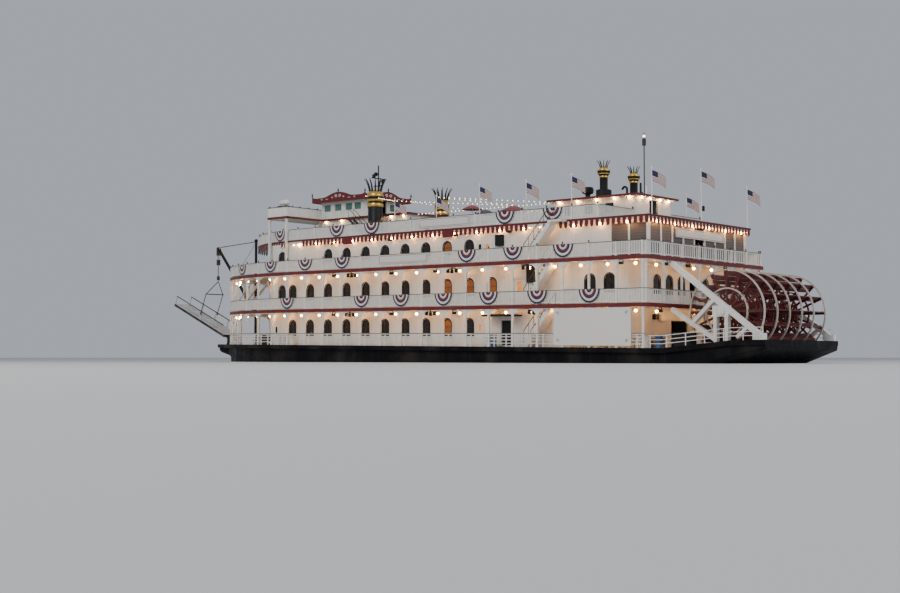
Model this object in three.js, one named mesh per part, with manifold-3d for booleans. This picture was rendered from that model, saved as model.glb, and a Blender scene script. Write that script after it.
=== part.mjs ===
// Stern-wheel paddle steamer, half full size.
//
// Sizes in the tables and functions below are metres on the full-size boat. A station is metres
// aft of the after corner of the cabin decks, so most of the boat has negative stations. Heights
// are above the waterline. The last step turns them into the model's millimetres: +X aft,
// +Y starboard, +Z up, with the origin on the flat bottom amidships.

import * as THREE from 'three';
import { mergeVertices } from 'three/addons/utils/BufferGeometryUtils.js';
import Module from 'manifold-3d';

const wasm = await Module();
wasm.setup();

// Driving dimensions
const SCALE = 1 / 2;
const M = 1000 * SCALE;
const GAP = 0.3 / M;
const DRAFT = 1.9;
const MIDSHIP = 24.75;
const SHEER = 0.0122;

const BEAM = 17.0;
const HALF = BEAM / 2;
const BOW_CENTRE = -38;
const BOW_REACH = 17.4;
const DECK_AFT = 0;

const MAIN_TOP = 1.1;
const DECK_2_TOP = 4.35;
const DECK_3_TOP = 7.8;
const DECK_4_TOP = 10.8;
const SLAB = 0.3;

const ROOF_HALF = 7.3;
const ROOF_AFT = -0.5;
const ROOF_REACH = 13;

const CABIN_HALF = 7.0;
const CABIN_FRONT = -43.2;
const CABIN_AFT = -2.6;
const WALL = 0.15;

const MODULE = 2.44;
const FIRST_WINDOW = -40.07;
const WINDOW_WIDTH = 0.98;
const WINDOW_SILL = 0.9;
const WINDOW_HEAD = 2.3;
const UPPER_HEAD = 2.0;

const RAIL_HEIGHT = 1.07;
const RAIL_INSET = 0.1;
const RAIL_DEPTH = 0.12;
const POST_WIDTH = 0.2;
const BAR = 0.1;

const WHEEL_STATION = 4.2;
const WHEEL_HEIGHT = 3.7;
const WHEEL_RADIUS = 3.03;
const WHEEL_INNER = 1.71;
const WHEEL_HALF = 4.6;
const WHEEL_FRAMES = 6;
const WHEEL_ARMS = 16;
const SHAFT_RADIUS = 0.2;
const PLAY = 0.5 / M;
const SHAFT_PLAY = 1.4 / M;
const TRUSS_INNER = 5.1;
const TRUSS_OUTER = 5.5;

const HEEL_STATION = -58.0;
const HEEL_HEIGHT = 2.45;
const STAGE_LENGTH = 9.9;
const STAGE_HALF = 1.0;
const STAGE_LIFT = THREE.MathUtils.degToRad(21.9);

const KINGPOST_STATION = -54.2;
const KINGPOST_TOP = 12.65;
const KINGPOST_RADIUS = 0.14;
const BOOM_HEEL_STATION = -54.62;
const BOOM_HEEL_HEIGHT = 5.5;
const BOOM_TIP_STATION = -60.6;
const BOOM_TIP_HEIGHT = 12.18;

// Finishes
const paint = (name, color, roughness, metalness = 0) => {
  const material = new THREE.MeshStandardMaterial({ color, roughness, metalness });
  material.name = name;
  return material;
};
const WHITE = paint('white_paint', 0xe9e6dd, 0.5);
const RED = paint('red_paint', 0x7a1c1c, 0.5);
const BLACK = paint('black_paint', 0x15161a, 0.45);
const WHEEL_RED = paint('wheel_red', 0x6d1a1c, 0.6);
const STEEL = paint('dark_steel', 0x2b2c30, 0.5, 0.6);

// Solids
const solidOf = (geometry) => {
  const bare = new THREE.BufferGeometry();
  bare.setAttribute('position', geometry.getAttribute('position').clone());
  if (geometry.index) bare.setIndex(geometry.index.clone());
  const merged = mergeVertices(bare, 1e-5);
  const mesh = new wasm.Mesh({
    numProp: 3,
    vertProperties: new Float32Array(merged.getAttribute('position').array),
    triVerts: new Uint32Array(merged.index.array),
  });
  mesh.merge();
  return new wasm.Manifold(mesh);
};

const geometryOf = (solid) => {
  const mesh = solid.getMesh();
  const geometry = new THREE.BufferGeometry();
  geometry.setAttribute('position', new THREE.BufferAttribute(new Float32Array(mesh.vertProperties), 3));
  geometry.setIndex(new THREE.BufferAttribute(new Uint32Array(mesh.triVerts), 1));
  return geometry;
};

const join = (pieces) => geometryOf(pieces.map(solidOf).reduce((whole, piece) => whole.add(piece)));

const cut = (body, tools) => geometryOf(
  tools.map(solidOf).reduce((rest, tool) => rest.subtract(tool), solidOf(body)),
);

const box = (x0, x1, y0, y1, z0, z1) => {
  const geometry = new THREE.BoxGeometry(x1 - x0, y1 - y0, z1 - z0);
  return geometry.translate((x0 + x1) / 2, (y0 + y1) / 2, (z0 + z1) / 2);
};

// A closed outline keeps only the points where it turns
const corners = (points) => {
  const moved = points.filter(([x, y], i) => {
    const [px, py] = points[(i + points.length - 1) % points.length];
    return Math.hypot(px - x, py - y) > 1e-6;
  });
  return moved.filter(([x, y], i) => {
    const [px, py] = moved[(i + moved.length - 1) % moved.length];
    const [nx, ny] = moved[(i + 1) % moved.length];
    return Math.abs((x - px) * (ny - y) - (y - py) * (nx - x)) > 1e-9;
  });
};

const outline = (points) => new THREE.Shape(corners(points).map(([a, b]) => new THREE.Vector2(a, b)));

const extrude = (shape, depth, curveSegments = 2) => (
  new THREE.ExtrudeGeometry(shape, { depth, bevelEnabled: false, curveSegments })
);

// A plan (station, y) raised from z0 to z1
const slab = (shape, z0, z1) => extrude(shape, z1 - z0).translate(0, 0, z0);

// A side view (station, height) made thick from y0 to y1
const sideways = (shape, y0, y1) => extrude(shape, y1 - y0).rotateX(Math.PI / 2).translate(0, y1, 0);

// A section (y, height) made long from x0 to x1
const ACROSS = new THREE.Matrix4().makeBasis(
  new THREE.Vector3(0, 1, 0),
  new THREE.Vector3(0, 0, 1),
  new THREE.Vector3(1, 0, 0),
);
const lengthways = (shape, x0, x1) => extrude(shape, x1 - x0).applyMatrix4(ACROSS).translate(x0, 0, 0);

// A square or round bar from one point to another
const bar = (from, to, width, depth = width, sides = 0) => {
  const start = new THREE.Vector3(...from);
  const end = new THREE.Vector3(...to);
  const length = start.distanceTo(end);
  const geometry = sides
    ? new THREE.CylinderGeometry(width / 2, width / 2, length, sides).rotateX(Math.PI / 2)
    : new THREE.BoxGeometry(width, depth, length);
  const along = end.clone().sub(start).normalize();
  const side = new THREE.Vector3(0, 1, 0);
  if (Math.abs(along.y) > 0.9) side.set(1, 0, 0);
  const first = new THREE.Vector3().crossVectors(side, along).normalize();
  const second = new THREE.Vector3().crossVectors(along, first);
  const turn = new THREE.Matrix4().makeBasis(first, second, along);
  const middle = start.add(end).multiplyScalar(0.5);
  return geometry.applyMatrix4(turn).translate(middle.x, middle.y, middle.z);
};

// A panel with openings cut right through it
const pierced = (stand, shape, openings, from, to) => (
  cut(stand(shape, from, to), openings.map((opening) => stand(opening, from - 1, to + 1)))
);

const pinY = (x, z, radius, y0, y1, sides = 16) => (
  new THREE.CylinderGeometry(radius, radius, y1 - y0, sides).translate(x, (y0 + y1) / 2, z)
);

// A bore whose flats all clear the radius given
const boreY = (x, z, radius, y0, y1, sides = 24) => (
  pinY(x, z, radius / Math.cos(Math.PI / sides), y0, y1, sides)
);

const rectangle = (a0, a1, b0, b1) => outline([[a0, b0], [a1, b0], [a1, b1], [a0, b1]]);

const disc = (x, y, radius, sides) => outline(Array.from({ length: sides }, (_, i) => {
  const angle = (2 * Math.PI * i) / sides;
  return [x + radius * Math.cos(angle), y + radius * Math.sin(angle)];
}));

const arch = (middle, width, sill, head) => {
  const shape = new THREE.Shape();
  const radius = width / 2;
  shape.moveTo(middle - radius, sill);
  shape.lineTo(middle + radius, sill);
  shape.absarc(middle, head - radius, radius, 0, Math.PI, false);
  return shape;
};

// The assembly: every sub-part is a named mesh in one boat group
const boat = new THREE.Group();
const sheerAndScale = new THREE.Matrix4().set(
  M, 0, 0, MIDSHIP * M,
  0, M, 0, 0,
  -SHEER * M, 0, M, DRAFT * M,
  0, 0, 0, 1,
);
const scaleOnly = new THREE.Matrix4().makeScale(M, M, M);

// Pieces that follow the sheer are leaned with the decks
const add = (name, geometry, material) => {
  geometry.applyMatrix4(sheerAndScale);
  geometry.computeVertexNormals();
  const mesh = new THREE.Mesh(geometry, material);
  mesh.name = name;
  boat.add(mesh);
};

// Pieces with a pivot are modelled about it, then placed and turned there
const addAt = (name, geometry, material, station, y, height, turn = 0) => {
  geometry.applyMatrix4(scaleOnly);
  geometry.computeVertexNormals();
  const mesh = new THREE.Mesh(geometry, material);
  mesh.name = name;
  mesh.position.set((station + MIDSHIP) * M, y * M, (height + DRAFT) * M);
  mesh.rotation.y = turn;
  boat.add(mesh);
};

// Hull: sections of a flat-bottomed barge, in true heights
// station, half width of deck, of side, of bottom, height of deck (leaned), of chine, of bottom
const GUARD_DEPTH = 0.35;
const HULL_SECTIONS = [
  [-58.9, 1.3, 1.05, 0.8, MAIN_TOP, 1.25, 1.0],
  [-57.0, 1.9, 1.3, 1.0, MAIN_TOP, 0.85, 0.6],
  [-55.3, 3.2, 2.3, 1.9, MAIN_TOP, 0.4, 0.1],
  [-53.0, 5.05, 4.1, 3.6, MAIN_TOP, -0.25, -0.55],
  [-50.0, 6.55, 5.8, 5.3, MAIN_TOP, -1.0, -1.3],
  [-46.5, 7.6, 7.0, 6.6, MAIN_TOP, -1.6, -DRAFT],
  [-42.5, 8.27, 7.8, 7.5, MAIN_TOP, -1.6, -DRAFT],
  [-38.0, 8.5, 8.2, 7.9, MAIN_TOP, -1.6, -DRAFT],
  [-1.5, 8.5, 8.2, 7.9, MAIN_TOP, -1.6, -DRAFT],
  [1.2, 8.5, 8.2, 7.9, MAIN_TOP, -0.77, -1.07],
  [5.6, 6.6, 6.4, 6.2, 1.68, 0.59, 0.29],
  [7.7, 5.6, 5.5, 5.4, 1.75, 1.15, 0.94],
];

const hullSection = ([station, deck, side, bottom, top, chine, keel]) => {
  const deckHeight = top - SHEER * station;
  const guard = deckHeight - GUARD_DEPTH;
  const half = [[bottom, keel], [side, chine], [side, guard], [deck, guard], [deck, deckHeight]];
  const mirrored = half.map(([y, z]) => [-y, z]).reverse();
  return [...half, ...mirrored].map(([y, z]) => [station, y, z + SHEER * station]);
};

// Rings of equal length joined by quads, with a fan at each end
const loft = (rings) => {
  const count = rings[0].length;
  const positions = rings.flat(2);
  const index = [];
  for (let ring = 0; ring < rings.length - 1; ring += 1) {
    for (let i = 0; i < count; i += 1) {
      const a = ring * count + i;
      const b = ring * count + ((i + 1) % count);
      index.push(a, b, a + count, b, b + count, a + count);
    }
  }
  const last = (rings.length - 1) * count;
  const filled = (ring) => (
    THREE.ShapeUtils.triangulateShape(ring.map(([, y, z]) => new THREE.Vector2(y, z)), [])
  );
  const face = filled(rings[0]);
  const endFace = filled(rings.at(-1));
  face.forEach(([a, b, c]) => index.push(c, b, a));
  endFace.forEach(([a, b, c]) => index.push(last + a, last + b, last + c));
  const geometry = new THREE.BufferGeometry();
  geometry.setAttribute('position', new THREE.Float32BufferAttribute(positions, 3));
  geometry.setIndex(index);
  return geometry;
};

const WELL_RADIUS = 3.35;
const WELL_HALF = 4.95;
const wheelHeight = WHEEL_HEIGHT + SHEER * WHEEL_STATION;
const hull = loft(HULL_SECTIONS.map(hullSection));
const well = pinY(WHEEL_STATION, wheelHeight, WELL_RADIUS, -WELL_HALF, WELL_HALF, 40);
add('hull', cut(hull, [well]), BLACK);

// Plan of a deck: straight sides, half an ellipse at the bow
const BOW_STEPS = 12;
const bowPoints = (half, reach, steps = BOW_STEPS) => Array.from({ length: steps + 1 }, (_, i) => {
  const angle = (Math.PI / 2) * (i / steps);
  return [BOW_CENTRE - reach * Math.sin(angle), half * Math.cos(angle)];
});
const deckPlan = (half, reach, aft) => {
  const curve = bowPoints(half, reach);
  const port = curve.slice(0, -1).map(([x, y]) => [x, -y]);
  return outline([[aft, -half], ...port, ...[...curve].reverse(), [aft, half]]);
};

// Stairs run up aft in the gallery on each side
const STAIR_FOOT = -11.6;
const STAIR_HEAD = -8.9;
const STAIR_INNER = 7.25;
const STAIR_OUTER = 8.2;
const STAIR_STEPS = 12;
const KINGPOST_SIDES = 12;
const stairWell = (side) => rectangle(
  STAIR_FOOT - 0.3,
  STAIR_HEAD,
  Math.min(side * STAIR_INNER, side * STAIR_OUTER) - 0.02,
  Math.max(side * STAIR_INNER, side * STAIR_OUTER) + 0.02,
);
const postHole = disc(KINGPOST_STATION, 0, KINGPOST_RADIUS + 2 * GAP, KINGPOST_SIDES);
const galleryHoles = [stairWell(-1), stairWell(1), postHole];
const galleryPlan = deckPlan(HALF, BOW_REACH, DECK_AFT);

add('deck_2', pierced(slab, galleryPlan, galleryHoles, DECK_2_TOP - SLAB, DECK_2_TOP), RED);
add('deck_3', pierced(slab, galleryPlan, galleryHoles, DECK_3_TOP - SLAB, DECK_3_TOP), RED);
add('deck_4', slab(deckPlan(ROOF_HALF, ROOF_REACH, ROOF_AFT), DECK_4_TOP - SLAB, DECK_4_TOP), RED);

// Cabin walls: each side is one panel with its arched windows and a door
// from and to are the first and last of the even windows, others are stations of odd ones,
// stern gives the windows of the after wall and door its door, by y
const PORCH_AFT = -0.75;
const LEVELS = [
  {
    name: 'main', floor: MAIN_TOP, top: DECK_2_TOP - SLAB, head: WINDOW_HEAD, aft: CABIN_AFT,
    from: 0, to: 9, others: [],
    sideDoor: -14.2, sideDoorWidth: 1.0,
    stern: [-5.8, -4.2, -2.6, 2.6, 4.2, 5.8], sternDoor: 0, sternDoorWidth: 2.4,
  },
  {
    name: 'deck_2', floor: DECK_2_TOP, top: DECK_3_TOP - SLAB, head: WINDOW_HEAD, aft: CABIN_AFT,
    from: 0, to: 10, others: [-41.6, -6.0, -4.2], sideDoor: -12.9, sideDoorWidth: 0.9,
    stern: [-3.15, -1.45, 0.25, 3.75, 5.45], sternDoor: 2.0, sternDoorWidth: 1.0,
  },
  {
    name: 'deck_3', floor: DECK_3_TOP, top: DECK_4_TOP - SLAB, head: UPPER_HEAD, aft: PORCH_AFT,
    from: 2, to: 9, others: [-41.6], sideDoor: -14.9, sideDoorWidth: 0.9, stern: [],
  },
];
const DOOR_HEIGHT = 2.1;
const FRONT_DOOR = 1.8;

// The after end of the third level is a screened porch: bays between posts, by station and by y
const PORCH_SIDE_BAYS = [[-4.05, -2.55], [-2.4, -0.95]];
const PORCH_STERN_BAYS = 9;
const PORCH_POST = 0.15;

LEVELS.forEach((level) => {
  const z0 = level.floor + GAP;
  const z1 = level.top - GAP;
  const windows = [];
  for (let n = level.from; n <= level.to; n += 1) {
    const middle = FIRST_WINDOW + n * MODULE;
    windows.push([middle, WINDOW_WIDTH, level.floor + WINDOW_SILL, level.floor + level.head]);
  }
  level.others.forEach((middle) => {
    windows.push([middle, WINDOW_WIDTH, level.floor + WINDOW_SILL, level.floor + level.head]);
  });
  const half = level.sideDoorWidth / 2;
  const sideHoles = [
    ...windows.map((w) => arch(...w)),
    rectangle(level.sideDoor - half, level.sideDoor + half, level.floor + 0.12, level.floor + DOOR_HEIGHT),
  ];
  const porch = level.aft === PORCH_AFT;
  if (porch) {
    PORCH_SIDE_BAYS.forEach(([x0, x1]) => sideHoles.push(rectangle(x0, x1, z0 + 0.1, z1 - 0.2)));
  }
  const side = rectangle(CABIN_FRONT, level.aft, z0, z1);
  const inner = CABIN_HALF - WALL;
  add(`${level.name}_wall_port`, pierced(sideways, side, sideHoles, -CABIN_HALF, -inner), WHITE);
  add(`${level.name}_wall_starboard`, pierced(sideways, side, sideHoles, inner, CABIN_HALF), WHITE);
  const end = rectangle(-inner + GAP, inner - GAP, z0, z1);
  const endHoles = (door, doorWidth, places) => [
    rectangle(door - doorWidth / 2, door + doorWidth / 2, level.floor - 1, level.floor + DOOR_HEIGHT),
    ...places.map((y) => arch(y, WINDOW_WIDTH, level.floor + WINDOW_SILL, level.floor + level.head)),
  ];
  const bayWidth = (2 * inner) / PORCH_STERN_BAYS;
  const bays = Array.from({ length: PORCH_STERN_BAYS }, (_, i) => {
    const y0 = -inner + i * bayWidth + PORCH_POST / 2;
    const sill = i === (PORCH_STERN_BAYS - 1) / 2 ? level.floor - 1 : z0 + 0.1;
    return rectangle(y0, y0 + bayWidth - PORCH_POST, sill, z1 - 0.2);
  });
  const front = endHoles(0, FRONT_DOOR, [-5.2, -3.2, 3.2, 5.2]);
  const aft = porch ? bays : endHoles(level.sternDoor, level.sternDoorWidth, level.stern);
  add(`${level.name}_wall_front`, pierced(lengthways, end, front, CABIN_FRONT, CABIN_FRONT + WALL), WHITE);
  add(`${level.name}_wall_aft`, pierced(lengthways, end, aft, level.aft - WALL, level.aft), WHITE);
});

// Rails: a top bar and posts; tall posts carry the deck above
const combPanel = (length, posts, tall, height) => {
  const side = RAIL_DEPTH / 2;
  const bars = [box(0, length, -side, side, RAIL_HEIGHT - BAR, RAIL_HEIGHT)];
  posts.forEach((at) => {
    const half = POST_WIDTH / 2;
    bars.push(box(at - half, at + half, -side, side, 0, tall(at) ? height : RAIL_HEIGHT));
  });
  return join(bars);
};

// A panel stood on edge along a chord of the plan
const standPanel = (geometry, from, to, z0) => {
  const angle = Math.atan2(to[1] - from[1], to[0] - from[0]);
  return geometry.rotateZ(angle).translate(from[0], from[1], z0);
};

const spaced = (length, pitch) => {
  const bays = Math.max(1, Math.round(length / pitch));
  const first = POST_WIDTH / 2;
  return Array.from({ length: bays + 1 }, (_, i) => first + ((length - 2 * first) * i) / bays);
};

const RAIL_BOW_STEPS = 5;
const RAIL_PITCH = 2 * MODULE;
const galleryRail = (side, aft, half, reach, floor, top, bowGap, tallDeck, returnTo) => {
  const height = top - floor - 2 * GAP;
  const z0 = floor + GAP;
  const line = half - RAIL_INSET;
  const curve = bowPoints(line, reach - RAIL_INSET, RAIL_BOW_STEPS).map(([x, y]) => [x, side * y]);
  const tip = curve.at(-1);
  const before = curve.at(-2);
  const share = 1 - bowGap / Math.abs(before[1]);
  curve[curve.length - 1] = [before[0] + (tip[0] - before[0]) * share, side * bowGap];
  const aftEnd = [aft - RAIL_INSET - RAIL_DEPTH - GAP, side * line];
  const route = [aftEnd, ...curve];
  const pieces = [];
  if (returnTo !== undefined) {
    const station = aftEnd[0] - POST_WIDTH / 2;
    const from = [station, side * line];
    const to = [station, side * returnTo];
    const length = line - returnTo;
    const panel = combPanel(length, spaced(length, RAIL_PITCH), () => tallDeck, height);
    pieces.push(standPanel(panel, from, to, z0));
  }
  for (let i = 0; i < route.length - 1; i += 1) {
    const length = Math.hypot(route[i + 1][0] - route[i][0], route[i + 1][1] - route[i][1]);
    const posts = i === 0 ? spaced(length, RAIL_PITCH) : [POST_WIDTH / 2, length - POST_WIDTH / 2];
    const tall = () => tallDeck;
    pieces.push(standPanel(combPanel(length, posts, tall, height), route[i], route[i + 1], z0));
  }
  return join(pieces);
};

const sternRail = (half, station, floor, top, tallDeck) => {
  const width = 2 * (half - RAIL_INSET) + RAIL_DEPTH;
  const posts = spaced(width, 2.8);
  const panel = combPanel(width, posts, () => tallDeck, top - floor - 2 * GAP);
  return standPanel(panel, [station, -width / 2], [station, width / 2], floor + GAP);
};

// The roof's rail turns in to the walls of the after house
const AFT_FRONT = -12.9;
const AFT_END = -4.9;
const AFT_HALF = 2.5;
const ROOF_RAIL_AFT = AFT_END + RAIL_DEPTH;

// name, after end, half width of deck, reach of bow, floor, underside above, half gap at bow,
// whether its posts carry the deck above, half width to which it turns in at its after end
const RAILS = [
  ['main_rail', DECK_AFT, HALF, BOW_REACH, MAIN_TOP, DECK_2_TOP - SLAB, 1.1, true],
  ['deck_2_rail', DECK_AFT, HALF, BOW_REACH, DECK_2_TOP, DECK_3_TOP - SLAB, 0.6, true],
  ['deck_3_rail', DECK_AFT, HALF, BOW_REACH, DECK_3_TOP, DECK_4_TOP, 0.08, false],
  ['deck_4_rail', ROOF_RAIL_AFT, ROOF_HALF, ROOF_REACH, DECK_4_TOP, DECK_4_TOP + 2, 0.08, false,
    AFT_HALF + GAP],
];
RAILS.forEach(([name, ...sizes]) => {
  add(`${name}_port`, galleryRail(-1, ...sizes), WHITE);
  add(`${name}_starboard`, galleryRail(1, ...sizes), WHITE);
});
const STERN_RAIL = -RAIL_INSET - RAIL_DEPTH / 2;
add('deck_2_rail_stern', sternRail(HALF, DECK_AFT + STERN_RAIL, DECK_2_TOP, DECK_3_TOP - SLAB, true), WHITE);
add('deck_3_rail_stern', sternRail(HALF, DECK_AFT + STERN_RAIL, DECK_3_TOP, DECK_4_TOP, false), WHITE);

// Stairs between decks: a closed flight with its steps
const flight = (floor, top, y0, y1) => {
  const rise = (top - floor - GAP) / STAIR_STEPS;
  const head = STAIR_HEAD - GAP;
  const run = (head - STAIR_FOOT) / STAIR_STEPS;
  const points = [[STAIR_FOOT, floor + GAP]];
  for (let i = 0; i < STAIR_STEPS; i += 1) {
    points.push([STAIR_FOOT + i * run, floor + GAP + (i + 1) * rise]);
    points.push([STAIR_FOOT + (i + 1) * run, floor + GAP + (i + 1) * rise]);
  }
  points.push([head, top - 0.4], [STAIR_FOOT + 0.45, floor + GAP]);
  return sideways(outline(points), y0, y1);
};
const FLIGHTS = [['stair_1', MAIN_TOP, DECK_2_TOP], ['stair_2', DECK_2_TOP, DECK_3_TOP]];
FLIGHTS.forEach(([name, floor, top]) => {
  add(`${name}_port`, flight(floor, top, -STAIR_OUTER, -STAIR_INNER), WHITE);
  add(`${name}_starboard`, flight(floor, top, STAIR_INNER, STAIR_OUTER), WHITE);
});
const upperFlight = (side) => {
  const y0 = Math.min(side * (ROOF_HALF + GAP), side * STAIR_OUTER);
  const y1 = Math.max(side * (ROOF_HALF + GAP), side * STAIR_OUTER);
  const landing = box(STAIR_HEAD - 0.1, STAIR_HEAD + 1.0, y0, y1, DECK_4_TOP - 0.12, DECK_4_TOP);
  return join([flight(DECK_3_TOP, DECK_4_TOP, y0, y1), landing]);
};
add('stair_3_port', upperFlight(-1), WHITE);
add('stair_3_starboard', upperFlight(1), WHITE);

// Houses on the top deck: hollow, with a door aft and windows cut
const house = (x0, x1, half, z0, z1, windows) => {
  const room = rectangle(x0 + WALL, x1 - WALL, -half + WALL, half - WALL);
  const shell = pierced(slab, rectangle(x0, x1, -half, half), [room], z0 + GAP, z1 - GAP);
  const door = box(x1 - 2 * WALL, x1 + WALL, -0.6, 0.6, z0 + 0.1, z0 + 1.95);
  return cut(shell, [door, ...windows]);
};
const BRIDGE_TOP = 13.15;
const BRIDGE_SLAB = 0.2;
const PILOT_FRONT = -41.2;
const PILOT_AFT = -35.4;
const PILOT_HALF = 2.45;
const PILOT_ROOF = 14.85;
const TEXAS_AFT = -29.2;
const TEXAS_HALF = 2.9;

const PILOT_SILL = BRIDGE_TOP + 0.75;
const PILOT_HEAD = BRIDGE_TOP + 1.5;
const pilotWindows = [-40.4, -38.9, -37.4, -36.2].map((x) => (
  box(x - 0.5, x + 0.5, -PILOT_HALF - 1, PILOT_HALF + 1, PILOT_SILL, PILOT_HEAD)
));
pilotWindows.push(box(PILOT_FRONT - 1, PILOT_FRONT + 1, -2.0, -0.15, PILOT_SILL, PILOT_HEAD));
pilotWindows.push(box(PILOT_FRONT - 1, PILOT_FRONT + 1, 0.15, 2.0, PILOT_SILL, PILOT_HEAD));
const texas = house(PILOT_FRONT, TEXAS_AFT, TEXAS_HALF, DECK_4_TOP, BRIDGE_TOP - BRIDGE_SLAB, []);
const pilothouse = house(PILOT_FRONT, PILOT_AFT, PILOT_HALF, BRIDGE_TOP, PILOT_ROOF, pilotWindows);
add('texas_walls', texas, WHITE);
add('pilothouse_walls', pilothouse, WHITE);

const WING_FRONT = -43.3;
const WING_AFT = -40.5;
const WING_HALF = 7.42;
const WING_POST = 7.32;
const BRIDGE_HALF = 3.1;
const PARAPET = 0.85;
const bridgePlan = [
  [WING_FRONT, -WING_HALF], [WING_AFT, -WING_HALF], [WING_AFT, -BRIDGE_HALF],
  [TEXAS_AFT + 0.3, -BRIDGE_HALF], [TEXAS_AFT + 0.3, BRIDGE_HALF], [WING_AFT, BRIDGE_HALF],
  [WING_AFT, WING_HALF], [WING_FRONT, WING_HALF],
];
const bridgePieces = [slab(outline(bridgePlan), BRIDGE_TOP - BRIDGE_SLAB, BRIDGE_TOP)];
const [parapetLow, parapetTop] = [BRIDGE_TOP - 0.1, BRIDGE_TOP + PARAPET];
bridgePieces.push(box(WING_FRONT, WING_FRONT + 0.1, -WING_HALF, WING_HALF, parapetLow, parapetTop));
[-1, 1].forEach((side) => {
  const outer = side * WING_HALF;
  const near = outer - side * 0.1;
  const [y0, y1] = [Math.min(outer, near), Math.max(outer, near)];
  bridgePieces.push(box(WING_FRONT, WING_AFT, y0, y1, parapetLow, parapetTop));
  const [r0, r1] = [Math.min(outer, side * BRIDGE_HALF), Math.max(outer, side * BRIDGE_HALF)];
  bridgePieces.push(box(WING_AFT - 0.1, WING_AFT, r0, r1, parapetLow, parapetTop));
  [WING_FRONT + 0.2, WING_AFT - 0.2].forEach((x) => {
    const y = side * WING_POST;
    bridgePieces.push(box(x - 0.1, x + 0.1, y - 0.1, y + 0.1, DECK_3_TOP + GAP, BRIDGE_TOP - 0.1));
  });
});
add('bridge_deck', join(bridgePieces), WHITE);

// Roof with upturned corners: two swept side views, kept where both are solid
const ROOF_FRONT = -41.9;
const ROOF_END = -34.55;
const ROOF_SIDE = 3.07;
const sweptProfile = (a0, a1, eave, rise) => {
  const half = (a1 - a0) / 2;
  const points = [[a0, eave + GAP], [a1, eave + GAP]];
  for (let i = 0; i <= 8; i += 1) {
    const t = 1 - i / 4;
    const lift = 0.14 * t * t + rise * (1 - Math.abs(t)) ** 1.6;
    points.push([a0 + half + half * t, eave + 0.12 + lift]);
  }
  return outline(points);
};
const roofLong = sideways(sweptProfile(ROOF_FRONT, ROOF_END, PILOT_ROOF, 0.75), -ROOF_SIDE, ROOF_SIDE);
const roofCross = lengthways(sweptProfile(-ROOF_SIDE, ROOF_SIDE, PILOT_ROOF, 0.75), ROOF_FRONT, ROOF_END);
const roofSolid = geometryOf(solidOf(roofLong).intersect(solidOf(roofCross)));
const MAST_STATION = -35.9;
const MAST_TOP = 18.3;
const MAST_RADIUS = 0.06;
const MAST_SIDES = 12;
const mastHole = slab(disc(MAST_STATION, 0, MAST_RADIUS + 2 * GAP, MAST_SIDES), BRIDGE_TOP, MAST_TOP);
add('pilothouse_roof', cut(roofSolid, [mastHole]), RED);

const AFT_ROOF = 12.9;
const AFT_ROOF_TOP = 13.08;
const aftWindows = [-11.4, -9.4, -7.4].map((x) => (
  box(x - 0.45, x + 0.45, -AFT_HALF - 1, AFT_HALF + 1, DECK_4_TOP + 0.9, DECK_4_TOP + 1.75)
));
add('aft_house_walls', house(AFT_FRONT, AFT_END, AFT_HALF, DECK_4_TOP, AFT_ROOF, aftWindows), WHITE);
add('aft_house_roof', box(-13.3, -4.43, -2.95, 2.95, AFT_ROOF, AFT_ROOF_TOP), RED);

// Chimneys: a turned column with a fanned crown
const CROWN_PRONGS = 8;
const chimney = (radius, base, bandFrom, crownFrom, tip, spread) => {
  const bead = radius * 1.12;
  const profile = [
    [0, base], [radius * 1.1, base], [radius * 1.1, base + 0.3], [radius, base + 0.35],
    [radius, bandFrom], [bead, bandFrom + 0.1], [radius, bandFrom + 0.2],
    [radius, crownFrom - 0.3], [bead, crownFrom - 0.15], [radius, crownFrom], [0, crownFrom],
  ].map(([r, z]) => new THREE.Vector2(r, z));
  const column = new THREE.LatheGeometry(profile, 14).rotateX(Math.PI / 2);
  const prongs = Array.from({ length: CROWN_PRONGS }, (_, i) => {
    const angle = (2 * Math.PI * i) / CROWN_PRONGS;
    const inner = radius * 0.75;
    const foot = [inner * Math.cos(angle), inner * Math.sin(angle), crownFrom - 0.1];
    const head = [spread * Math.cos(angle), spread * Math.sin(angle), tip];
    return bar(foot, head, radius * 0.3);
  });
  return join([column, ...prongs]);
};
const FORE_STACK = {
  station: -31.75, half: 4.45, radius: 0.66, base: DECK_4_TOP,
  band: 13.75, crown: 15.15, tip: 16.15, spread: 0.98,
};
const AFT_STACK = {
  station: -8.18, half: 2.11, radius: 0.32, base: AFT_ROOF_TOP,
  band: 14.75, crown: 15.3, tip: 15.95, spread: 0.52,
};
[['fore', FORE_STACK], ['aft', AFT_STACK]].forEach(([name, s]) => {
  [['port', -1], ['starboard', 1]].forEach(([side, sign]) => {
    const stack = chimney(s.radius, s.base + GAP, s.band, s.crown, s.tip, s.spread);
    add(`${name}_stack_${side}`, stack.translate(s.station, sign * s.half, 0), BLACK);
  });
});

// Masts
const mast = (station, foot, top, radius) => (
  bar([station, 0, foot + GAP], [station, 0, top], 2 * radius, 0, MAST_SIDES)
);
add('fore_mast', mast(MAST_STATION, BRIDGE_TOP, MAST_TOP, MAST_RADIUS), BLACK);
add('aft_antenna', mast(-5.75, AFT_ROOF_TOP, 18.2, 0.05), BLACK);

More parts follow.
